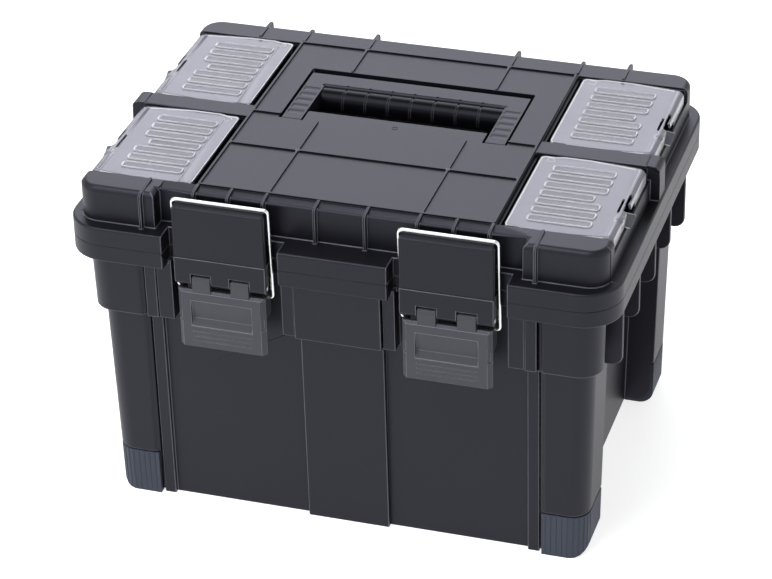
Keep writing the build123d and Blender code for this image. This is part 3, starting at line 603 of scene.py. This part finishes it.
def fitLid(piece):
    e = lidSet
    y, z = e["frontEdge"]
    onEdge = lambda p: abs(p.y - y) < slack and abs(p.z - z) < slack
    bevelEdges(piece, lambda a, b: onEdge(a) and onEdge(b), e["frontRound"], segments=4)
    # lips under the lid close the slits beside the bins
    lips = []
    start, end = e["wellSpan"]
    inner, outer = e["wellReach"]
    fit, lip = e["lipFit"], e["lip"]
    low, high = e["lipHeight"]
    for sideX in sides.values():
        for sideY in ends.values():
            for xs, ys in (((inner - lip, inner - fit), (start - lip, end + lip)),
                           ((inner - lip, outer), (start - lip, start - fit)),
                           ((inner - lip, outer), (end + fit, end + lip))):
                xs, ys = sorted(sideX * x for x in xs), sorted(sideY * y for y in ys)
                lips.append(addBox("wellLip", (xs[0], ys[0], low), (xs[1], ys[1], high)))
    cutOrJoin(piece, lips, "UNION")
    # notches for the clips of the covers
    notches = []
    for sideX in sides.values():
        for step in (0, organiserStep):
            xs, ys = sorted(sideX * x for x in e["notchX"]), [y + step for y in e["notchY"]]
            notches.append(addBox("clipNotch", (xs[0], ys[0], e["notchZ"][0]), (xs[1], ys[1], e["notchZ"][1])))
    cutOrJoin(piece, notches, "DIFFERENCE")


def easedCopy(nodeName, width):
    piece = copyPiece(nodes[nodeName], camel(nodeName) + "Eased", Matrix.Identity(4))
    pickAll(piece)
    bpy.ops.mesh.remove_doubles(threshold=easeSet["merge"] * mm)
    bpy.ops.mesh.dissolve_limited(angle_limit=math.radians(easeSet["flatAngle"]))
    bareSelection()
    if nodeName == "base_shell":
        fitBase(piece)
    if nodeName == "lid_shell":
        fitLid(piece)
    # convex faces keep their fill when their edges move
    pickAll(piece)
    bpy.ops.mesh.vert_connect_concave()
    bareSelection()
    easeAndHighlightEdges(piece, width, weighed=nodeName in shellSet["weighed"])
    shadeByAngle(piece)
    squareNormals(piece)
    return piece


for nodeName, width in shellSet["ease"].items():
    shell = easedCopy(nodeName, width)
    dress(shell, nodeName)
    print("eased", nodeName, len(shell.data.polygons), "faces")


# clear organiser cover, modelled at the front right
coverSet = {"inner": 127.6, "outer": 213.7, "near": -129.9, "far": -10.1, "top": 291.0, "hem": 280.2,
            "innerRound": 4.0, "outerRound": 7.0, "roll": 4.5, "edgeRound": 0.8, "sheet": 1.8,
            "waist": 1.9, "waistFrom": 139.0, "waistTo": 146.0, "skirtFrom": 205.2, "skirtLip": 288.9,
            "rim": 1.1, "sunk": 0.6, "rimFrom": 5.0, "rimSpan": 50.0,
            "ringAt": (136.4, -17.2), "ringRadius": 3.1, "ringWire": 0.35}

# long ridges across a cover, of which the middle one is short
ridgeSet = {"count": 7, "pitch": 13.6, "start": 141.0, "end": 193.0, "short": 185.5, "width": 9.8, "corner": 3.2,
            "root": 1.2, "height": 0.5, "edge": 0.45, "bead": 1.0, "dish": 0.8}

# hinge ears under the inner edge: place of each outer face, and the way that it looks
earSet = {"axis": (132.0, 284.5), "faces": ((-12.0, 1), (-128.0, -1)), "width": 3.0, "radius": 3.4,
          "web": (0.3, 3.2), "webFit": 0.05, "webTop": 290.0, "pintle": 2.0, "pintleRoot": 1.0, "pintleOut": 2.0}

# spring clip in the middle of the outer edge: openings in the roll, a finger tab and a pad
clipSet = {"slit": ((206.0, -86.0, 286.0), (208.2, -64.0, 296.0), 1.0),
           "window": ((209.8, -73.0, 288.0), (212.4, -56.0, 296.0), 1.2),
           "hole": ((210.2, -82.5, 270.0), (222.0, -68.5, 296.0), 1.6),
           "hem": ((211.0, -82.5, 270.0), (222.0, -56.0, 284.6), 2.0),
           "tab": ((211.6, -81.0, 288.6), (219.4, -75.5, 284.2), (218.2, -90.0, 279.6), (213.4, -90.5, 280.6)),
           "sheet": 1.6, "edge": 0.5, "padAt": (209.6, -95.0, 287.2), "padSize": (4.9, 10.0, 4.4)}

# how bright the painted highlight on the rims of clear plastic is, and which normals count as a rim
rimHighlightSet = {"far": 0.6, "outer": 0.35, "outerFrom": 200.0, "skirt": 0.7, "tilt": 0.97, "reach": 0.5,
          "margin": 10.0, "skirtFacing": 0.85, "tabFrom": 0.3, "tabFacing": 0.95, "step": 0.02}


def ridgeBar(y, end):
    r = ridgeSet
    half = r["width"] / 2
    top = coverSet["top"] + r["height"]
    bar = addBox("coverRidge", (r["start"], y - half, coverSet["top"] - r["root"]), (end, y + half, top))
    bevelEdges(bar, lambda a, b: abs(a.z - b.z) > r["root"], r["corner"], segments=5)
    bevelEdges(bar, lambda a, b: min(a.z, b.z) > top - same, r["edge"], segments=2)
    sinkFaces(bar, lambda p, n: n.z > level, r["bead"], r["dish"])
    return bar


def clipOpening(name):
    low, high, corner = clipSet[name]
    opening = addBox("clip" + name.capitalize(), low, high)
    bevelEdges(opening, upright, corner, segments=5)
    return opening


def clipTab():
    bareSelection()
    bpy.ops.mesh.primitive_plane_add(size=2 * mm)
    tab = bpy.context.object
    tab.name = "clipTab"
    corners = ((-1, -1), (1, -1), (1, 1), (-1, 1))
    for (x, y), place in zip(corners, clipSet["tab"]):
        moveVerts(tab, lambda p: (p - Vector((x, y, 0))).length < slack, Vector(place) - Vector((x, y, 0)))
    pickAll(tab)
    bpy.ops.mesh.normals_make_consistent(inside=False)
    bareSelection()
    applyModifier(tab, "SOLIDIFY", thickness=clipSet["sheet"] * mm, offset=0, use_even_offset=True)
    softEdges(tab, clipSet["edge"], 2)
    return tab


def clipPad():
    bareSelection()
    bpy.ops.mesh.primitive_uv_sphere_add(segments=32, ring_count=16, radius=mm)
    pad = bpy.context.object
    pad.name = "clipPad"
    pad.scale = clipSet["padSize"]
    pad.location = Vector(clipSet["padAt"]) * mm
    bpy.ops.object.transform_apply(location=True, rotation=True, scale=True)
    return pad


# rims of the ridges, the plate and the clip, as a mask for a painted highlight in the material, and the dished
# faces as a mask for painted shade
def markRimHighlightAndDishShade(cover):
    c, r, m = coverSet, ridgeSet, rimHighlightSet
    highlightMask = cover.data.attributes.new("rim", "FLOAT", "FACE")
    dish = cover.data.attributes.new("dish", "FLOAT", "FACE")
    floor = c["top"] + r["height"] - r["dish"]
    middle = (c["near"] + c["far"]) / 2
    first, second, _, last = (Vector(corner) for corner in clipSet["tab"])
    tabNormal = -(second - first).cross(last - first).normalized()
    for face in cover.data.polygons:
        p, n = face.center / mm, face.normal
        rims = (p.z > c["top"] - c["sunk"] + m["step"] and n.z < m["tilt"]
                and p.x < c["outer"] - c["roll"] + m["reach"])
        skirt = n.x > m["skirtFacing"] and abs(p.x - c["outer"]) < m["reach"]
        onTab = p.x > c["outer"] + m["tabFrom"]
        tabFace = onTab and n.dot(tabNormal) > m["tabFacing"]
        tabEdge = onTab and abs(n.dot(tabNormal)) < m["tabFacing"]
        # the far sides of the ridges get a weaker painted highlight, as painted shade
        across = (p.y - middle) / r["pitch"]
        onFar = (across - round(across)) * r["pitch"] > r["width"] / 2 - 2 * r["bead"]
        onRidge = (r["start"] - apart < p.x < r["end"] + apart
                   and c["near"] + m["margin"] < p.y < c["far"] - m["margin"])
        full = m["outer"] if p.x > m["outerFrom"] else m["far"] if onRidge and onFar else 1.0
        highlightMask.data[face.index].value = full if rims else 1.0 if tabEdge else m["skirt"] if skirt else 0.0
        # the sunk floors of the ridges and the face of the tab take painted shade
        sunk = n.z > level and abs(p.z - floor) < m["step"]
        dish.data[face.index].value = 1.0 if sunk or tabFace else 0.0


def coverEars():
    e = earSet
    x, z = e["axis"]
    ears = []
    for face, outward in e["faces"]:
        inside = face - outward * e["width"]
        ears.append(addRod("coverEar", (x, face, z), (x, inside, z), e["radius"]))
        ears.append(addBox("coverWeb", (coverSet["inner"] + e["web"][0], min(face, inside) + e["webFit"], z),
                           (x + e["web"][1], max(face, inside) - e["webFit"], e["webTop"])))
        ears.append(addRod("coverPintle", (x, face - outward * e["pintleRoot"], z),
                           (x, face + outward * e["pintleOut"], z), e["pintle"]))
    return ears


def coverRing():
    c = coverSet
    bareSelection()
    bpy.ops.mesh.primitive_torus_add(major_radius=c["ringRadius"] * mm, minor_radius=c["ringWire"] * mm,
                                     major_segments=32, minor_segments=8,
                                     location=[v * mm for v in (*c["ringAt"], c["top"] - c["sunk"])])
    bpy.ops.object.transform_apply(location=True, rotation=True, scale=True)
    return bpy.context.object


def makeCover():
    c = coverSet
    cover = addBox("frontRightCoverClear", (c["inner"], c["near"], c["hem"]), (c["outer"], c["far"], c["top"]))
    middle = (c["near"] + c["far"]) / 2
    cutAt(cover, 0, (c["waistFrom"], c["waistTo"]))
    moveVerts(cover, lambda p: p.x < c["waistFrom"] + slack and p.y < middle, (0, c["waist"], 0))
    moveVerts(cover, lambda p: p.x < c["waistFrom"] + slack and p.y > middle, (0, -c["waist"], 0))
    bevelEdges(cover, lambda a, b: upright(a, b) and a.x > c["outer"] - slack, c["outerRound"], segments=7)
    bevelEdges(cover, lambda a, b: upright(a, b) and a.x < c["inner"] + slack, c["innerRound"], segments=5)
    rim = lambda a, b: min(a.z, b.z) > c["top"] - same
    outer = c["outer"] - c["outerRound"]
    bevelEdges(cover, lambda a, b: rim(a, b) and min(a.x, b.x) > outer - same, c["roll"], segments=6)
    inside = lambda a, b: c["inner"] + c["rimFrom"] < min(a.x, b.x) and abs(a.y - middle) < c["rimSpan"]
    bevelEdges(cover, lambda a, b: rim(a, b) and abs(a.x - b.x) + abs(a.y - b.y) > 2 * slack
               and max(a.x, b.x) < outer + slack and not inside(a, b), c["edgeRound"], segments=2)
    sinkFaces(cover, lambda p, n: n.z > level and p.z > c["top"] - same, c["rim"], c["sunk"])
    cutAt(cover, 2, (c["skirtLip"],))
    cutAt(cover, 0, (c["skirtFrom"],))
    dropFaces(cover, lambda p, n: n.z < -facing or (p.z < c["skirtLip"] and p.x < c["skirtFrom"]))
    applyModifier(cover, "SOLIDIFY", thickness=c["sheet"] * mm, offset=-1, use_even_offset=True)
    shadeByAngle(cover)
    # the pad goes on first, then the openings round the clip, then its tab, the ridges and the ears
    cutOrJoin(cover, [clipPad()], "UNION")
    cutOrJoin(cover, [clipOpening(name) for name in ("slit", "window", "hole", "hem")], "DIFFERENCE")
    joined = [clipTab()]
    for step in range(ridgeSet["count"]):
        y = middle + (step - (ridgeSet["count"] - 1) / 2) * ridgeSet["pitch"]
        joined.append(ridgeBar(y, ridgeSet["short" if step == ridgeSet["count"] // 2 else "end"]))
    cutOrJoin(cover, joined + coverEars(), "UNION")
    cutOrJoin(cover, [coverRing()], "UNION")
    shadeByAngle(cover, angle=28)
    markRimHighlightAndDishShade(cover)
    return cover


frontRightCover = makeCover()
dressCorners(frontRightCover, "cover", "Clear", lambda sideX, sideY: Matrix.Translation(
    (0, (sideY > 0) * organiserStep * mm, 0)) @ flip[sideX, -1])
print("four clear covers", len(frontRightCover.data.polygons), "faces each")


# corner foot with upright flutes, modelled at the front right
footSet = {"inner": 163.6, "outer": 200.3, "near": -145.3, "far": -96.1, "top": 39.8, "lean": 0.7,
           "topEdge": 0.7, "corner": 16.0, "cornerSteps": 17, "sideRound": 13.0, "wall": 2.9, "overrun": 5.0,
           "coreTop": 60.0, "profile": ((100.0, -160.0), (-80.0, 90.0)), "tub": ((0, -138.7, -5), (175.7, 0, 80))}

# flutes: "clear" keeps them off the lower and upper edge, "every" and "first" choose them on the round corner
fluteSet = {"pitch": 4.6, "width": 0.6, "depth": 0.28, "edge": 0.02, "margin": 3.0, "acrossFront": 4,
            "acrossSide": 7, "clear": (2.0, 1.5), "facing": 0.3, "fade": 0.5, "every": 3, "first": 1}


# outline of a foot seen from the front, rounded at its lower outer corner
def sideProfile(outer, bottom, radius):
    (inner, near), (far, top) = footSet["profile"]
    profile = addBox("footProfile", (inner, near, bottom), (outer, far, top))
    bevelEdges(profile, lambda a, b: max(a.z, b.z) < bottom + same and min(a.x, b.x) > outer - same,
               radius, segments=10)
    return profile


def cutFlutes(foot):
    f, u = footSet, fluteSet
    # pairs of cuts leave narrow strips, which are sunk as flutes
    xs = [f["inner"] + u["margin"] + step * u["pitch"] for step in range(u["acrossFront"])]
    ys = [f["far"] - u["margin"] - step * u["pitch"] for step in range(u["acrossSide"])]
    for x in xs:
        cutAt(foot, 0, (x, x + u["width"]))
    for y in ys:
        cutAt(foot, 1, (y - u["width"], y))
    reach = f["corner"] - u["fade"]
    onCorner = lambda p: p.x > f["outer"] - reach and p.y < f["near"] + reach
    cornerStep = lambda n: int(math.degrees(math.atan2(-n.y, n.x)) / 90 * f["cornerSteps"])
    strips = lambda p, n: u["clear"][0] < p.z < f["top"] - u["clear"][1] and (
        n.y < -u["facing"] and any(x < p.x < x + u["width"] for x in xs)
        or n.x > u["facing"] and any(y - u["width"] < p.y < y for y in ys)
        or onCorner(p) and cornerStep(n) % u["every"] == u["first"])
    sinkFaces(foot, strips, u["edge"], u["depth"])


def makeFoot():
    f = footSet
    atCorner = lambda a, b: (upright(a, b) and min(a.x, b.x) > f["outer"] - tall
                             and max(a.y, b.y) < f["near"] + tall)
    foot = addBox("frontRightFootFluted", (f["inner"], f["near"], 0), (f["outer"], f["far"], f["top"]))
    moveVerts(foot, lambda p: p.z > apart and p.x > f["outer"] - apart, (f["lean"], 0, 0))
    moveVerts(foot, lambda p: p.z > apart and p.y < f["near"] + apart, (0, -f["lean"], 0))
    bevelEdges(foot, atCorner, f["corner"], f["cornerSteps"])
    bevelEdges(foot, lambda a, b: min(a.z, b.z) > f["top"] - slack, f["topEdge"], segments=2)
    cutFlutes(foot)
    # the hollow that takes the post, and the room for the tub
    wall, over = f["wall"], f["overrun"]
    core = addBox("footCore", (f["inner"] - over, f["near"] + wall, wall),
                  (f["outer"] - wall, f["far"] + over, f["coreTop"]))
    bevelEdges(core, atCorner, f["corner"] - wall, segments=8)
    cutOrJoin(core, [sideProfile(f["outer"] - wall, wall, f["sideRound"] - wall)], "INTERSECT")
    tub = addBox("footTub", *f["tub"])
    cutOrJoin(foot, [sideProfile(f["outer"] + f["lean"], 0, f["sideRound"])], "INTERSECT")
    cutOrJoin(foot, [core, tub], "DIFFERENCE")
    shadeByAngle(foot)
    return foot


frontRightFoot = makeFoot()
dressCorners(frontRightFoot, "foot", "Fluted", lambda sideX, sideY: flip[sideX, sideY])
print("four fluted feet", len(frontRightFoot.data.polygons), "faces each")


# grey latch lever, modelled on the right and copied to the left
leverSet = {"middle": 92.5, "half": 36.4, "front": -168.6, "plate": 4.6, "bottom": 165.8, "top": 217.3,
            "sideChamfer": 3.6, "topChamfer": 2.0, "edge": 0.35, "panelHalf": 25.5, "panelLow": 185.0,
            "panelHigh": 208.3, "rim": 0.5, "scoop": 2.7, "ledge": 191.0, "ledgeReach": 0.3, "lip": (1.0, 0.35),
            "grooves": (171.4, 175.6, 179.8), "grooveWidth": 0.8, "grooveDepth": 0.6, "grooveHalf": 24.5,
            "grooveEdge": 0.05, "slot": (188.0, 215.0), "slotEdge": 1.2, "slotDepth": 1.4, "slant": 0.5}

# hinge tabs above the plate and bail cheeks behind it
hingeSet = {"axis": (-163.8, 225.5), "knuckle": 4.5, "pin": 1.55, "tabs": (8.7, 23.5), "root": 3.0,
            "webBack": 4.0, "cheek": 3.0, "cheekBack": -152.5, "cheekLow": 197.5, "cheekRoot": 1.0,
            "cheekRound": 4.0, "bailAt": (-155.5, 213.5), "boreHalf": 50.0}


def leverHinge(back):
    v, g = leverSet, hingeSet
    m = v["middle"]
    y, z = g["axis"]
    joined = []
    for turn in (-1, 1):
        near, far = (m + turn * offset for offset in g["tabs"])
        joined.append(addRod("leverTab", (near, y, z), (far, y, z), g["knuckle"]))
        joined.append(addBox("leverWeb", (min(near, far), y - g["knuckle"], v["top"] - g["root"]),
                             (max(near, far), y + g["webBack"], z)))
        side = m + turn * v["half"]
        xs = sorted((side, side - turn * g["cheek"]))
        cheek = addBox("leverCheek", (xs[0], back - g["cheekRoot"], g["cheekLow"]),
                       (xs[1], g["cheekBack"], v["top"]))
        bevelEdges(cheek, lambda a, b: abs(a.x - b.x) > apart and min(a.y, b.y) > g["cheekBack"] - slack,
                   g["cheekRound"], segments=5)
        joined.append(cheek)
    return joined


def makeLever():
    v = leverSet
    m = v["middle"]
    front, back = v["front"], v["front"] + v["plate"]
    lever = addBox("rightLatchLever", (m - v["half"], front, v["bottom"]), (m + v["half"], back, v["top"]))
    onFront = lambda a, b: max(a.y, b.y) < front + same
    bevelEdges(lever, lambda a, b: onFront(a, b) and upright(a, b), v["sideChamfer"], segments=1)
    bevelEdges(lever, lambda a, b: onFront(a, b) and min(a.z, b.z) > v["top"] - same,
               v["topChamfer"], segments=1)
    # finger scoop: shallow at the top, deep behind a lip at the bottom
    lipHeight, lipOut = v["lip"]
    cutAt(lever, 0, (m - v["panelHalf"], m + v["panelHalf"]))
    cutAt(lever, 2, (v["panelLow"] - lipHeight, v["panelLow"], v["ledge"], v["panelHigh"]))
    inPanel = lambda p: abs(p.x - m) < v["panelHalf"] and v["panelLow"] < p.z < v["panelHigh"]
    sinkFaces(lever, lambda p, n: n.y < -facing and inPanel(p), v["rim"], v["rim"])
    moveVerts(lever, lambda p: abs(p.x - m) < v["panelHalf"] - v["rim"] / 2
              and abs(p.z - v["ledge"]) < v["ledgeReach"] and p.y < back - apart, (0, v["scoop"], 0))
    pullFaces(lever, lambda p, n: n.y < -facing and abs(p.x - m) < v["panelHalf"]
              and v["panelLow"] - lipHeight < p.z < v["panelLow"], (0, -lipOut, 0))
    # fine grip grooves under the lip
    cutAt(lever, 0, (m - v["grooveHalf"], m + v["grooveHalf"]))
    for z in v["grooves"]:
        cutAt(lever, 2, (z, z + v["grooveWidth"]))
    sinkFaces(lever, lambda p, n: n.y < -facing and abs(p.x - m) < v["grooveHalf"]
              and any(z < p.z < z + v["grooveWidth"] for z in v["grooves"]), v["grooveEdge"], v["grooveDepth"])
    # long slot in each slanted side
    cutAt(lever, 2, v["slot"])
    low, high = v["slot"]
    sinkFaces(lever, lambda p, n: abs(n.x) > v["slant"] and n.y < -v["slant"] and low < p.z < high,
              v["slotEdge"], v["slotDepth"])
    easeAndHighlightEdges(lever, v["edge"], segments=2, angle=30)
    cutOrJoin(lever, leverHinge(back), "UNION")
    half = hingeSet["boreHalf"]
    bores = [addRod("leverBore", (m - half, y, z), (m + half, y, z), hingeSet["pin"])
             for y, z in (hingeSet["axis"], hingeSet["bailAt"])]
    cutOrJoin(lever, bores, "DIFFERENCE")
    shadeByAngle(lever, angle=28)
    return lever


rightLever = makeLever()
leftLever = copyPiece(rightLever, "leftLatchLever", Matrix.Translation((-2 * leverSet["middle"] * mm, 0, 0)))
dress(rightLever, "right_latch_lever")
dress(leftLever, "left_latch_lever")
print("two levers", len(rightLever.data.polygons), "faces each")


# carrying handle: U-shaped frame with waved arms, and the ribbed grip on its rod
handleSet = {"half": 94.5, "armInner": 78.0, "back": 79.5, "barFront": 60.5, "nose": -4.5, "top": 291.5,
             "barBottom": 280.5, "armBottom": 277.5, "pivot": (2.5, 284.5), "trunnion": 3.0, "trunnionEnd": 99.3,
             "scallops": (9.0, 19.5, 30.0, 40.5, 51.0), "scallopRadius": 12.0, "scallopDepth": 0.6,
             "margin": 1.6, "edge": 1.1, "noseRound": 6.9, "barRound": 2.5, "root": 2.0,
             "dimple": 1.0, "dimpleAt": 62.6, "dimpleDepth": 0.8, "overrun": 2.0}

# ribbed sleeve on the rod of the handle
gripSet = {"at": (54.8, 281.0), "rod": 6.0, "radius": 9.8, "half": 77.7, "rings": 8, "groove": 1.7,
           "grooveDepth": 0.7, "grooveEdge": 0.05, "edge": 0.35, "fit": 0.05, "endFit": 0.1, "coreHalf": 90.0}


def ringPlaces():
    half = gripSet["rings"] // 2
    return [step * 2 * gripSet["half"] / gripSet["rings"] for step in range(1 - half, half)]


def makeHandle():
    h, g = handleSet, gripSet
    handle = addBox("carryHandle", (-h["half"], h["barFront"], h["barBottom"]), (h["half"], h["back"], h["top"]))
    cutAt(handle, 0, (-h["armInner"], h["armInner"]))
    onArm = lambda p: abs(p.x) > h["armInner"]
    pullFaces(handle, lambda p, n: n.y < -facing and onArm(p), (0, h["nose"] - h["barFront"], 0))
    pullFaces(handle, lambda p, n: n.z < -facing and onArm(p), (0, 0, h["armBottom"] - h["barBottom"]))
    bevelEdges(handle, lambda a, b: max(a.y, b.y) < h["nose"] + same and abs(a.x - b.x) > apart,
               h["noseRound"], segments=7)
    onBar = lambda p: (abs(p.x) < h["armInner"] + slack and abs(p.y - h["barFront"]) < same
                       and p.z > h["top"] - same)
    bevelEdges(handle, lambda a, b: onBar(a) and onBar(b), h["barRound"], segments=5)
    easeAndHighlightEdges(handle, h["edge"], segments=3, angle=40)
    # the grip's rod and the trunnions
    y, z = g["at"]
    py, pz = h["pivot"]
    rodEnd, seatEnd = h["armInner"] + h["root"], g["half"] + g["endFit"]
    joined = [addRod("handleRod", (-rodEnd, y, z), (rodEnd, y, z), g["rod"])]
    joined += [addRod("handlePivot", (turn * rodEnd, py, pz), (turn * h["trunnionEnd"], py, pz), h["trunnion"])
               for turn in (-1, 1)]
    # the grip's seat, waves on the arms and a dimple above each ring
    seat = addRod("handleSeat", (-seatEnd, y, z), (seatEnd, y, z), g["radius"] + g["fit"], vertices=64)
    high = h["top"] + h["scallopRadius"] - h["scallopDepth"]
    scallops = [addRod("handleScallop", (turn * (h["armInner"] + h["margin"]), at, high),
                       (turn * (h["half"] - h["margin"]), at, high), h["scallopRadius"], vertices=48)
                for turn in (-1, 1) for at in h["scallops"]]
    y, low, high = h["dimpleAt"], h["top"] - h["dimpleDepth"], h["top"] + h["overrun"]
    dimples = [addRod("handleDimple", (x, y, low), (x, y, high), h["dimple"], vertices=16) for x in ringPlaces()]
    cutOrJoin(handle, [seat] + scallops + dimples, "DIFFERENCE")
    cutOrJoin(handle, joined, "UNION")
    shadeByAngle(handle, angle=30)
    return handle


def makeGrip():
    g = gripSet
    y, z = g["at"]
    grip = addRod("handleGripSleeve", (-g["half"], y, z), (g["half"], y, z), g["radius"], vertices=64)
    half = g["groove"] / 2
    for x in ringPlaces():
        cutAt(grip, 0, (x - half, x + half))
    sinkFaces(grip, lambda p, n: abs(n.x) < facing and any(abs(p.x - x) < half for x in ringPlaces()),
              g["grooveEdge"], g["grooveDepth"])
    easeAndHighlightEdges(grip, g["edge"], segments=2, angle=40)
    core = addRod("gripCore", (-g["coreHalf"], y, z), (g["coreHalf"], y, z), g["rod"] + g["fit"], vertices=48)
    cutOrJoin(grip, [core], "DIFFERENCE")
    shadeByAngle(grip, angle=30)
    return grip


dress(makeHandle(), "handle_frame")
dress(makeGrip(), "handle_grip")
print("handle and grip")


# moulding gate mark on the top panel
gateSet = {"at": (1.5, -0.3), "radius": 2.3, "low": 291.6, "high": 292.35, "rim": 0.7, "dish": 0.6, "edge": 0.2}


def makeGate():
    g = gateSet
    gate = addRod("lidGateMark", (*g["at"], g["low"]), (*g["at"], g["high"]), g["radius"], vertices=32)
    sinkFaces(gate, lambda p, n: n.z > facing, g["rim"], g["dish"])
    softEdges(gate, g["edge"], segments=2, angle=40)
    shadeByAngle(gate)
    return gate


gate = makeGate()
gate.data.materials.append(slotMats["shell"])
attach(gate, "lid")


# camera, lights and floor

cameraSet = {"azimuth": 17.731156, "elevation": 30.802847, "roll": -1.300323,
             "place": (0.659528, -2.091955, 1.447382), "lens": 142.224, "sensor": 36.0, "reach": 50}


def addCamera():
    az, el, roll = (math.radians(cameraSet[key]) for key in ("azimuth", "elevation", "roll"))
    back = Vector((math.sin(az) * math.cos(el), -math.cos(az) * math.cos(el), math.sin(el)))
    right = (-back).cross(Vector((0, 0, 1))).normalized()
    up = right.cross(-back)
    tiltRight = math.cos(roll) * right + math.sin(roll) * up
    tiltUp = -math.sin(roll) * right + math.cos(roll) * up
    data = bpy.data.cameras.new("photoCamera")
    data.lens = cameraSet["lens"]
    data.sensor_width = cameraSet["sensor"]
    data.clip_end = cameraSet["reach"]
    cam = bpy.data.objects.new("photoCamera", data)
    bpy.context.scene.collection.objects.link(cam)
    turn = Matrix((tiltRight, tiltUp, back)).transposed().to_4x4()
    cam.matrix_world = Matrix.Translation(cameraSet["place"]) @ turn
    bpy.context.scene.camera = cam


addCamera()

lampAim = (0, 0, 0.15)
lampSet = {
    "top": {"at": (-0.5, -0.8, 2.2), "size": 1.4, "power": 36, "colour": (0.96, 0.97, 1.0)},
    "frontLeft": {"at": (-2.0, -2.2, 1.7), "size": 1.8, "power": 18, "colour": (0.97, 0.97, 1.0)},
    "right": {"at": (2.4, -0.4, 1.6), "size": 1.6, "power": 6, "colour": (0.94, 0.95, 1.0)},
    "back": {"at": (-0.85, 2.7, 2.0), "size": 2.2, "power": 38, "colour": (0.86, 0.88, 1.0)},
}


def addLamps():
    for name, spec in lampSet.items():
        data = bpy.data.lights.new(name + "Lamp", "AREA")
        data.shape = "SQUARE"
        data.size = spec["size"]
        data.energy = spec["power"]
        data.color = spec["colour"]
        lamp = bpy.data.objects.new(name + "Lamp", data)
        bpy.context.scene.collection.objects.link(lamp)
        lamp.location = spec["at"]
        aim = Vector(lampAim) - Vector(spec["at"])
        lamp.rotation_euler = aim.to_track_quat("-Z", "Y").to_euler()


addLamps()

worldSet = {"seen": 1.0, "light": 0.55, "horizon": 0.5, "zenith": 0.95, "overhead": 0.35}


# camera, mirror and see-through rays, as one mask
def seenRays(tree):
    rays = addNode(tree, "ShaderNodeLightPath")
    either = addNode(tree, "ShaderNodeMath", operation="MAXIMUM")
    seen = addNode(tree, "ShaderNodeMath", operation="MAXIMUM")
    wire(rays, "Is Camera Ray", either, 0)
    wire(rays, "Is Glossy Ray", either, 1)
    wire(either, "Value", seen, 0)
    wire(rays, "Is Transmission Ray", seen, 1)
    return seen


def addWorld():
    world = bpy.data.worlds.new("studio")
    bpy.context.scene.world = world
    world.use_nodes = True
    tree = world.node_tree
    tree.nodes.clear()
    amount = addRange(tree, worldSet["light"], worldSet["seen"])
    coords = addNode(tree, "ShaderNodeTexCoord")
    height = addNode(tree, "ShaderNodeSeparateXYZ")
    sky = addRange(tree, 1, worldSet["overhead"],
                   **{"From Min": worldSet["horizon"], "From Max": worldSet["zenith"]})
    strength = addNode(tree, "ShaderNodeMath", operation="MULTIPLY")
    back = addNode(tree, "ShaderNodeBackground", Color=(1, 1, 1, 1))
    out = addNode(tree, "ShaderNodeOutputWorld")
    wire(seenRays(tree), "Value", amount, "Value")
    wire(coords, "Generated", height, "Vector")
    wire(height, "Z", sky, "Value")
    wire(amount, "Result", strength, 0)
    wire(sky, "Result", strength, 1)
    wire(strength, "Value", back, "Strength")
    wire(back, "Background", out, "Surface")


addWorld()

floorSet = {"size": 24.0, "tone": 0.78, "vary": 0.01, "paper": 60.0, "detail": 4.0, "rough": 0.9,
            "lift": 0.3, "seenLift": 0.7}


def addFloor():
    bpy.ops.mesh.primitive_plane_add(size=floorSet["size"], location=(0, 0, 0))
    floor = bpy.context.object
    floor.name = "studioFloor"
    mat, tree, shader = newMaterial("paleFloor")
    coords = addNode(tree, "ShaderNodeTexCoord")
    paper = addNode(tree, "ShaderNodeTexNoise", Scale=floorSet["paper"], Detail=floorSet["detail"])
    tone = addTint(tree, A=(floorSet["tone"],) * 3, B=(floorSet["tone"] + floorSet["vary"],) * 3)
    wire(coords, "Object", paper, "Vector")
    wire(paper, "Fac", tone, "Factor")
    wire(tone, "Result", shader, "Base Color")
    shader.inputs["Roughness"].default_value = floorSet["rough"]
    shader.inputs["Emission Color"].default_value = (1, 1, 1, 1)
    lift = addRange(tree, floorSet["lift"], floorSet["seenLift"])
    wire(seenRays(tree), "Value", lift, "Value")
    wire(lift, "Result", shader, "Emission Strength")
    floor.data.materials.append(mat)


addFloor()
bpy.context.scene.view_settings.view_transform = "Standard"
print("camera, lamps, world and floor in place")
